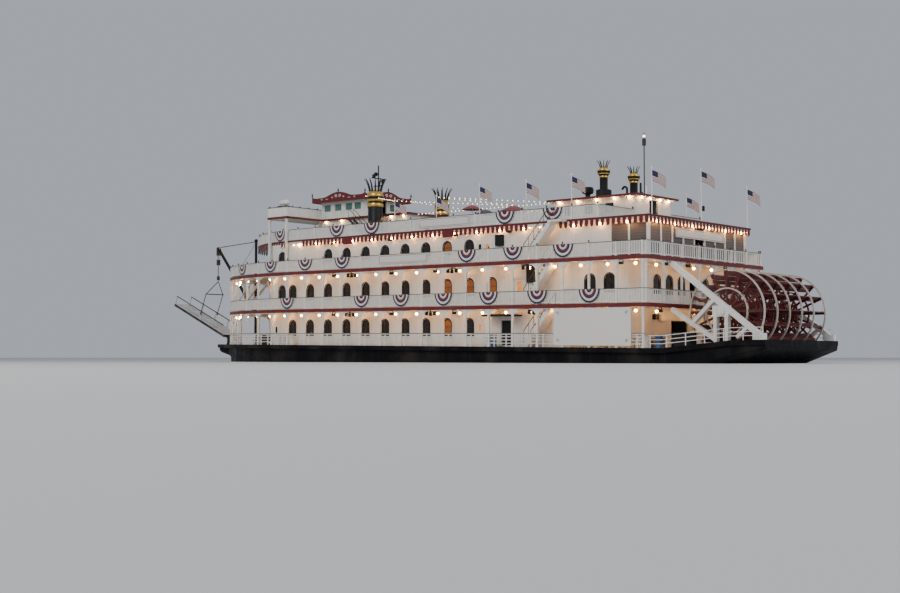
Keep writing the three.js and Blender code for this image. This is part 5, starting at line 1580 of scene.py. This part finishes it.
# %% Rail round the stern deck
STERN_RAIL_HEIGHT = 0.87
edge = np.array([(0.1, 8.35, MAIN_TOP), (1.2, 8.35, MAIN_TOP), (5.6, 6.45, 1.68), (7.55, 5.5, 1.745)])
edge = lifted(edge, 0.003)
posts = walk(edge, np.linspace(0.1, length_of(edge) - 0.05, 7))[:, :3]
stern_rails = [rods(posts, lifted(posts, STERN_RAIL_HEIGHT), 0.035)]
for height in (0.3, 0.58, STERN_RAIL_HEIGHT):
    rail = lifted(edge, height)
    stern_rails.append(rods(rail[:-1], rail[1:], 0.026, 6))
piece("stern_deck_rails", mirrored(*stern_rails), TRIM, smooth=True)
print("stern deck rails made")

# %% Drums, crates and lockers
DRUM = turned([
    (0.0, 0.0), (0.3, 0.0), (0.31, 0.03), (0.29, 0.06), (0.29, 0.3), (0.31, 0.32), (0.29, 0.34), (0.29, 0.58),
    (0.31, 0.6), (0.29, 0.62), (0.29, 0.86), (0.31, 0.9), (0.27, 0.9), (0.27, 0.87), (0.0, 0.87),
], 20)
deck_up = MAIN_TOP + 0.003
piece("blue_drum", repeated(DRUM, (-0.6, -6.0, deck_up)), BLUE, smooth=True)
drums = [(-41.0, -7.9, deck_up), (-40.2, -7.9, deck_up), (-39.3, -7.9, deck_up), (-2.2, -6.2, deck_up),
         (-1.55, -6.2, deck_up)]
piece("white_drums", repeated(DRUM, drums), TRIM, smooth=True)
crate = [box(x - 0.03, x + 0.03, -0.32, 0.32, 0.0, 0.74) for x in (-0.38, 0.0, 0.38)]
crate += [box(-0.4, 0.4, -0.3, 0.3, 0.0, 0.72), box(-0.42, 0.42, -0.32, 0.32, 0.34, 0.4)]
piece("deck_crates", repeated(stacked(crate), [(-1.15, -5.3, deck_up), (-43.9, -5.6, deck_up)]), BROWN)
stern_boxes = [box(1.0, 2.4, -6.6, -5.75, deck_up, 2.25), box(-2.603, -2.3, -3.8, -3.35, 3.25, 3.65)]
piece("stern_boxes", stern_boxes, BLACK)
piece("stern_cabinet", box(-2.603, -2.3, -3.0, -2.3, 3.15, 3.65), TRIM)
piece("side_locker", box(-15.15, -14.38, -8.27, -7.99, deck_up, 2.06), BLUE)
bands = [box(-15.16, -14.37, -8.275, -7.985, z, z + 0.1) for z in (1.35, 1.62, 1.88)]
piece("side_locker_bands", bands, TRIM)
print("deck gear made")

# %% Pipes and a vent on the after house
ROOF_UP = 13.083


def bent_pipe(x, y, low, high, radius, reach):
    """A standing pipe with two quarter bends forward: rods from point to point, a ball at each."""
    t = np.linspace(0.0, np.pi, 9)[1:]
    bend = [(x - reach * (1 - math.cos(a)), y, high - reach + reach * math.sin(a)) for a in t]
    path = np.array([(x, y, low), (x, y, high - reach), *bend])
    return stacked([rods(path[:-1], path[1:], radius, 10), repeated(ball(radius, 10, 6), path[1:-1])])


COWL = turned([(0.0, 0.0), (0.2, 0.0), (0.2, 0.3), (0.45, 0.42), (0.5, 0.7), (0.4, 0.9), (0.0, 0.95)], 16)
piece("roof_vents", [
    repeated(COWL, (-9.9, -1.9, ROOF_UP)), bent_pipe(-6.1, -1.9, ROOF_UP, 13.75, 0.09, 0.22),
    rods([(-5.3, -1.2, ROOF_UP)], [(-5.3, -1.2, 14.05)], 0.09, 10),
    rods([(-6.9, 1.4, ROOF_UP)], [(-6.9, 1.4, 13.7)], 0.07, 10),
], BLACK, smooth=True)
piece("roof_pipe_white", rods([(-5.05, -0.8, ROOF_UP)], [(-5.05, -0.8, 13.85)], 0.08, 10), TRIM, smooth=True)
rows = on_sides((-11.4, -9.4, -7.4), HOUSE_HALF, DECK_4_TOP + 0.9)
piece("after_house_frames", repeated(square_window(0.9, 0.85), rows), TRIM)
piece("after_house_glass", repeated(box(-0.42, 0.42, 0.058, 0.072, 0.03, 0.82), rows), DARK_PANE)
RAFT_HALF, RAFT_RADIUS = 0.625, 0.27
t = np.linspace(-np.pi / 2, np.pi / 2, 9)
along = (RAFT_HALF - RAFT_RADIUS) * np.sign(t) + RAFT_RADIUS * np.sin(t)
points, faces = turned(np.stack([RAFT_RADIUS * np.cos(t), along], 1), 16)
raft = (points[:, [2, 1, 0]] * [1, -1, 1], faces)
piece("life_raft", repeated(raft, (-41.4, -7.0, 14.5)), TRIM, smooth=True)
piece("life_raft_cradle", [box(x - 0.04, x + 0.04, -7.3, -6.7, 13.153, 14.2) for x in (-41.8, -41.0)], STEEL)
print("houses finished")

# %% Sign board corners and mast fittings
BOARD_X, BOARD_Z = (-8.3, -1.3), (MAIN_TOP + 0.15, DECK_2_TOP - SLAB - 0.05)
points, faces = scroll(0.16, 1.1, 0.04)
pair = [
    repeated((points * [away, 1, 1], faces), [(x, -8.533, z) for z in (BOARD_Z[0] + 0.35, BOARD_Z[1] - 0.35)])
    for x, away in ((BOARD_X[0] + 0.4, -1), (BOARD_X[1] - 0.4, 1))
]
piece("sign_corners", mirrored(*pair), STEEL)
FRAME_BARS = [
    (*BOARD_X, BOARD_Z[0], BOARD_Z[0] + 0.05), (*BOARD_X, BOARD_Z[1] - 0.05, BOARD_Z[1]),
    (BOARD_X[0], BOARD_X[0] + 0.05, *BOARD_Z), (BOARD_X[1] - 0.05, BOARD_X[1], *BOARD_Z),
]
piece("sign_frames", mirrored(*[box(x0, x1, 8.5, 8.545, z0, z1) for x0, x1, z0, z1 in FRAME_BARS]), TRIM)
wing_posts = [(WING_FRONT + 0.06, y) for y in np.arange(-6.6, 6.7, 1.2)]
wing_posts += [(x, sign * (WING_HALF - 0.06)) for x in (-43.1, -41.9, -40.7) for sign in (-1, 1)]
wing_posts += [(WING_AFT - 0.06, sign * y) for y in (3.6, 4.7, 5.8, 6.7) for sign in (-1, 1)]
knobs = repeated(KNOB, [(x, y, BRIDGE_TOP + 0.85) for x, y in wing_posts])
piece("bridge_knobs", knobs, HANDRAIL, smooth=True)
piece("antenna_light", repeated(ball(0.1, 10, 6), (-5.75, 0.0, 17.95)), BULB, smooth=True)
piece("antenna_box", box(-5.87, -5.63, -0.1, 0.1, 17.2, 17.75), STEEL)
MAST = -35.9
mast_can = turned([(0.0, 0.0), (0.16, 0.0), (0.18, 0.3), (0.0, 0.34)], 12)
piece("mast_fittings", [
    box(MAST - 0.05, MAST + 0.05, -0.9, 0.9, 17.0, 17.08),
    repeated(mast_can, [(MAST, -0.6, 17.08), (MAST, 0.6, 16.66)]),
    repeated(ball(0.2, 10, 6), (MAST - 0.35, 0.0, 17.5)),
    box(MAST - 0.4, MAST, -0.03, 0.03, 17.46, 17.54), box(MAST - 0.6, MAST + 0.6, -0.06, 0.06, 16.3, 16.38),
], BLACK, smooth=True)
print("mast fittings made")

# %% [markdown]
# ## Rigging and bow gear
#
# The topping wires from the kingpost to the boom, and the rope from the boom to the hook, are pieces
# with no parent: their places are baked into their meshes.

# %% Wires from the kingpost to the boom and from the boom to the hook
KINGPOST, KINGPOST_TOP, BOOM_TIP = -54.2, 12.65, (-60.6, 0.0, 12.18)
HOOK_TOP, HOOK_LOW, TACKLE_FOOT = 9.2, 8.75, 10.4


def wire(start, end, radius, sections, count):
    """A rod with rings all along it."""
    return carried(np.linspace(start, end, sections), circle(radius, count))


def blended(name, shape):
    """A wire with no parent, its place baked into its mesh."""
    made = piece(name, shape, STEEL, body=None, place=level, smooth=True)
    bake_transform(made)
    return made


for side, sign in SIDES:
    start = (KINGPOST, sign * 0.1, KINGPOST_TOP - 0.1)
    end = (BOOM_TIP[0] + 0.3, sign * 0.13, BOOM_TIP[2] + 0.12)
    blended(f"topping_wire_{side}", wire(start, end, 0.022, 14, 8))
start, end = np.array([BOOM_TIP[0], 0.0, TACKLE_FOOT + 0.1]), np.array([BOOM_TIP[0], 0.0, HOOK_TOP - 0.02])
section, ring = np.insert(circle(0.022, 6), 2, 0.0, 1), np.arange(6)[None]
ropes = []
for offset in (-0.045, 0.045):
    path = np.linspace(start, end, 20) + [0.0, offset, 0.0]
    rings = path[:, None] + section
    ropes.append((rings.reshape(-1, 3), [grid_faces(20, 6), ring, ring + 19 * 6]))
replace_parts(blended("hoist_rope", stacked(ropes)), "hoist_fall")
points, faces = turned([(0.0, -0.05), (0.2, -0.05), (0.16, 0.0), (0.2, 0.05), (0.0, 0.05)], 20)
SHEAVE = (points[:, [0, 2, 1]] * [1, -1, 1], faces)
corners = np.array([(x, y, -0.6) for x in (-0.1, 0.1) for y in (-0.07, 0.07)])
tackle = stacked([
    mirrored(box(-0.17, 0.17, 0.12, 0.16, -0.75, 0.12)), box(-0.15, 0.15, -0.15, 0.15, -1.78, -1.2),
    rods(corners, corners - [0.0, 0.0, 0.65], 0.02, 6),
])
piece("boom_tackle", repeated(tackle, BOOM_TIP), STEEL, "fall", level)
sheaves = repeated(SHEAVE, [BOOM_TIP, (BOOM_TIP[0], 0.0, BOOM_TIP[2] - 0.55)])
piece("boom_tackle_sheaves", sheaves, GOLD, "fall", level, smooth=True)
hook = stacked([plate(circle(0.12, 16), -0.1, 0.1), box(-0.05, 0.05, -0.11, 0.11, -0.2, 0.2)])
piece("hook_sheave", repeated(hook, (BOOM_TIP[0], 0.0, HOOK_LOW + 0.22)), STEEL, "hook", level)
print("wires made")

# %% Stays, winch and bitts on the foredeck
stay = rods([(KINGPOST, 0.12, KINGPOST_TOP - 0.3)], [(-48.6, 6.5, 9.05)], 0.02, 6)
piece("kingpost_stays", mirrored(stay), STEEL, place=level)
BOLLARD = turned([(0.0, 0.0), (0.2, 0.0), (0.2, 0.04), (0.11, 0.06), (0.11, 0.4), (0.16, 0.44), (0.16, 0.5),
                  (0.0, 0.52)], 14)
bollards = [(-55.6, 1.9, deck_up), (-56.3, 1.6, deck_up), (-50.6, 5.3, deck_up), (-49.8, 5.7, deck_up)]
drum = [axle_rod(0.27, -0.66, 0.66), mirrored(axle_rod(0.42, 0.58, 0.66)), axle_rod(0.14, -1.15, 1.15)]
piece("foredeck_gear", [
    box(-52.6, -51.4, -0.8, 0.8, deck_up, 1.25), mirrored(box(-52.5, -51.5, 0.66, 0.78, 1.25, 1.95)),
    repeated(stacked(drum), (-52.0, 0.0, 1.7)), mirrored(repeated(BOLLARD, bollards)),
], STEEL)
print("foredeck gear made")

# %% Finish, planks and braces of the landing stage
HEEL = (-58.0, 0.0, 2.45)
STAGE_LENGTH, STAGE_HALF, STAGE_LIFT, STAGE_DEPTH, STAGE_RAIL = 9.9, 1.0, math.radians(21.9), 0.28, 1.1


def on_stage(points):
    """Row-frame metres of points given along the stage: raised by its angle about its heel pin."""
    x, y, z = np.moveaxis(np.asarray(points, float), -1, 0)
    cos, sin = math.cos(STAGE_LIFT), math.sin(STAGE_LIFT)
    return level(np.stack([x * cos + z * sin, y, -x * sin + z * cos], -1) + HEEL)


def stage_material():
    """Black beams and handrails, and pale paint between: height over the stage x sin a + z cos a."""
    marks = (0.2, 0.25, 1.0)
    material, tree, shader, place, weather = surface("landing stage", 0.45, weather=marks)
    x, _, z = parts_of(tree, place)
    x, z = times(tree, x, math.sin(STAGE_LIFT)), times(tree, z, math.cos(STAGE_LIFT))
    heel = level(np.array(HEEL))
    base = float(heel[0] * math.sin(STAGE_LIFT) + heel[2] * math.cos(STAGE_LIFT))
    edge, rail = base + (STAGE_DEPTH - 0.01) * SCALE, base + STAGE_RAIL * SCALE
    height = maths(tree, "ADD", x, z)
    over_planks = ranged(tree, height, edge, edge + 0.002)
    pale = maths(tree, "SUBTRACT", over_planks, ranged(tree, height, rail, rail + 0.002))
    colour = mixed(tree, pale, (0.010, 0.010, 0.012), (0.60, 0.61, 0.60))
    put(tree, shader["Base Color"], mixed(tree, weather["Dirt"], colour, (0.20, 0.18, 0.16)))
    bump(tree, shader, weather["Height"], 0.25, 0.002)
    return material


finish("landing_stage", stage_material())
treads = [box(x, x + 0.05, -0.86, 0.86, 0.281, 0.305) for x in np.arange(-STAGE_LENGTH + 0.2, -0.6, 0.4)]
y = STAGE_HALF - 0.05
posts = np.array([(x, y, 0.3) for x in np.arange(-STAGE_LENGTH + 0.1, -1.0, 2.4)[:-1]])
middle_bar = rods([(-STAGE_LENGTH + 0.1, y, 0.7)], [(-1.0, y, 0.7)], 0.02, 6)
lattice = mirrored(rods(posts, posts + [2.4, 0.0, 0.8], 0.018, 6), middle_bar)
piece("stage_treads", treads, RIM, "stage", on_stage)
piece("stage_braces", lattice, TRIM, "stage", on_stage)
print("landing stage finished")
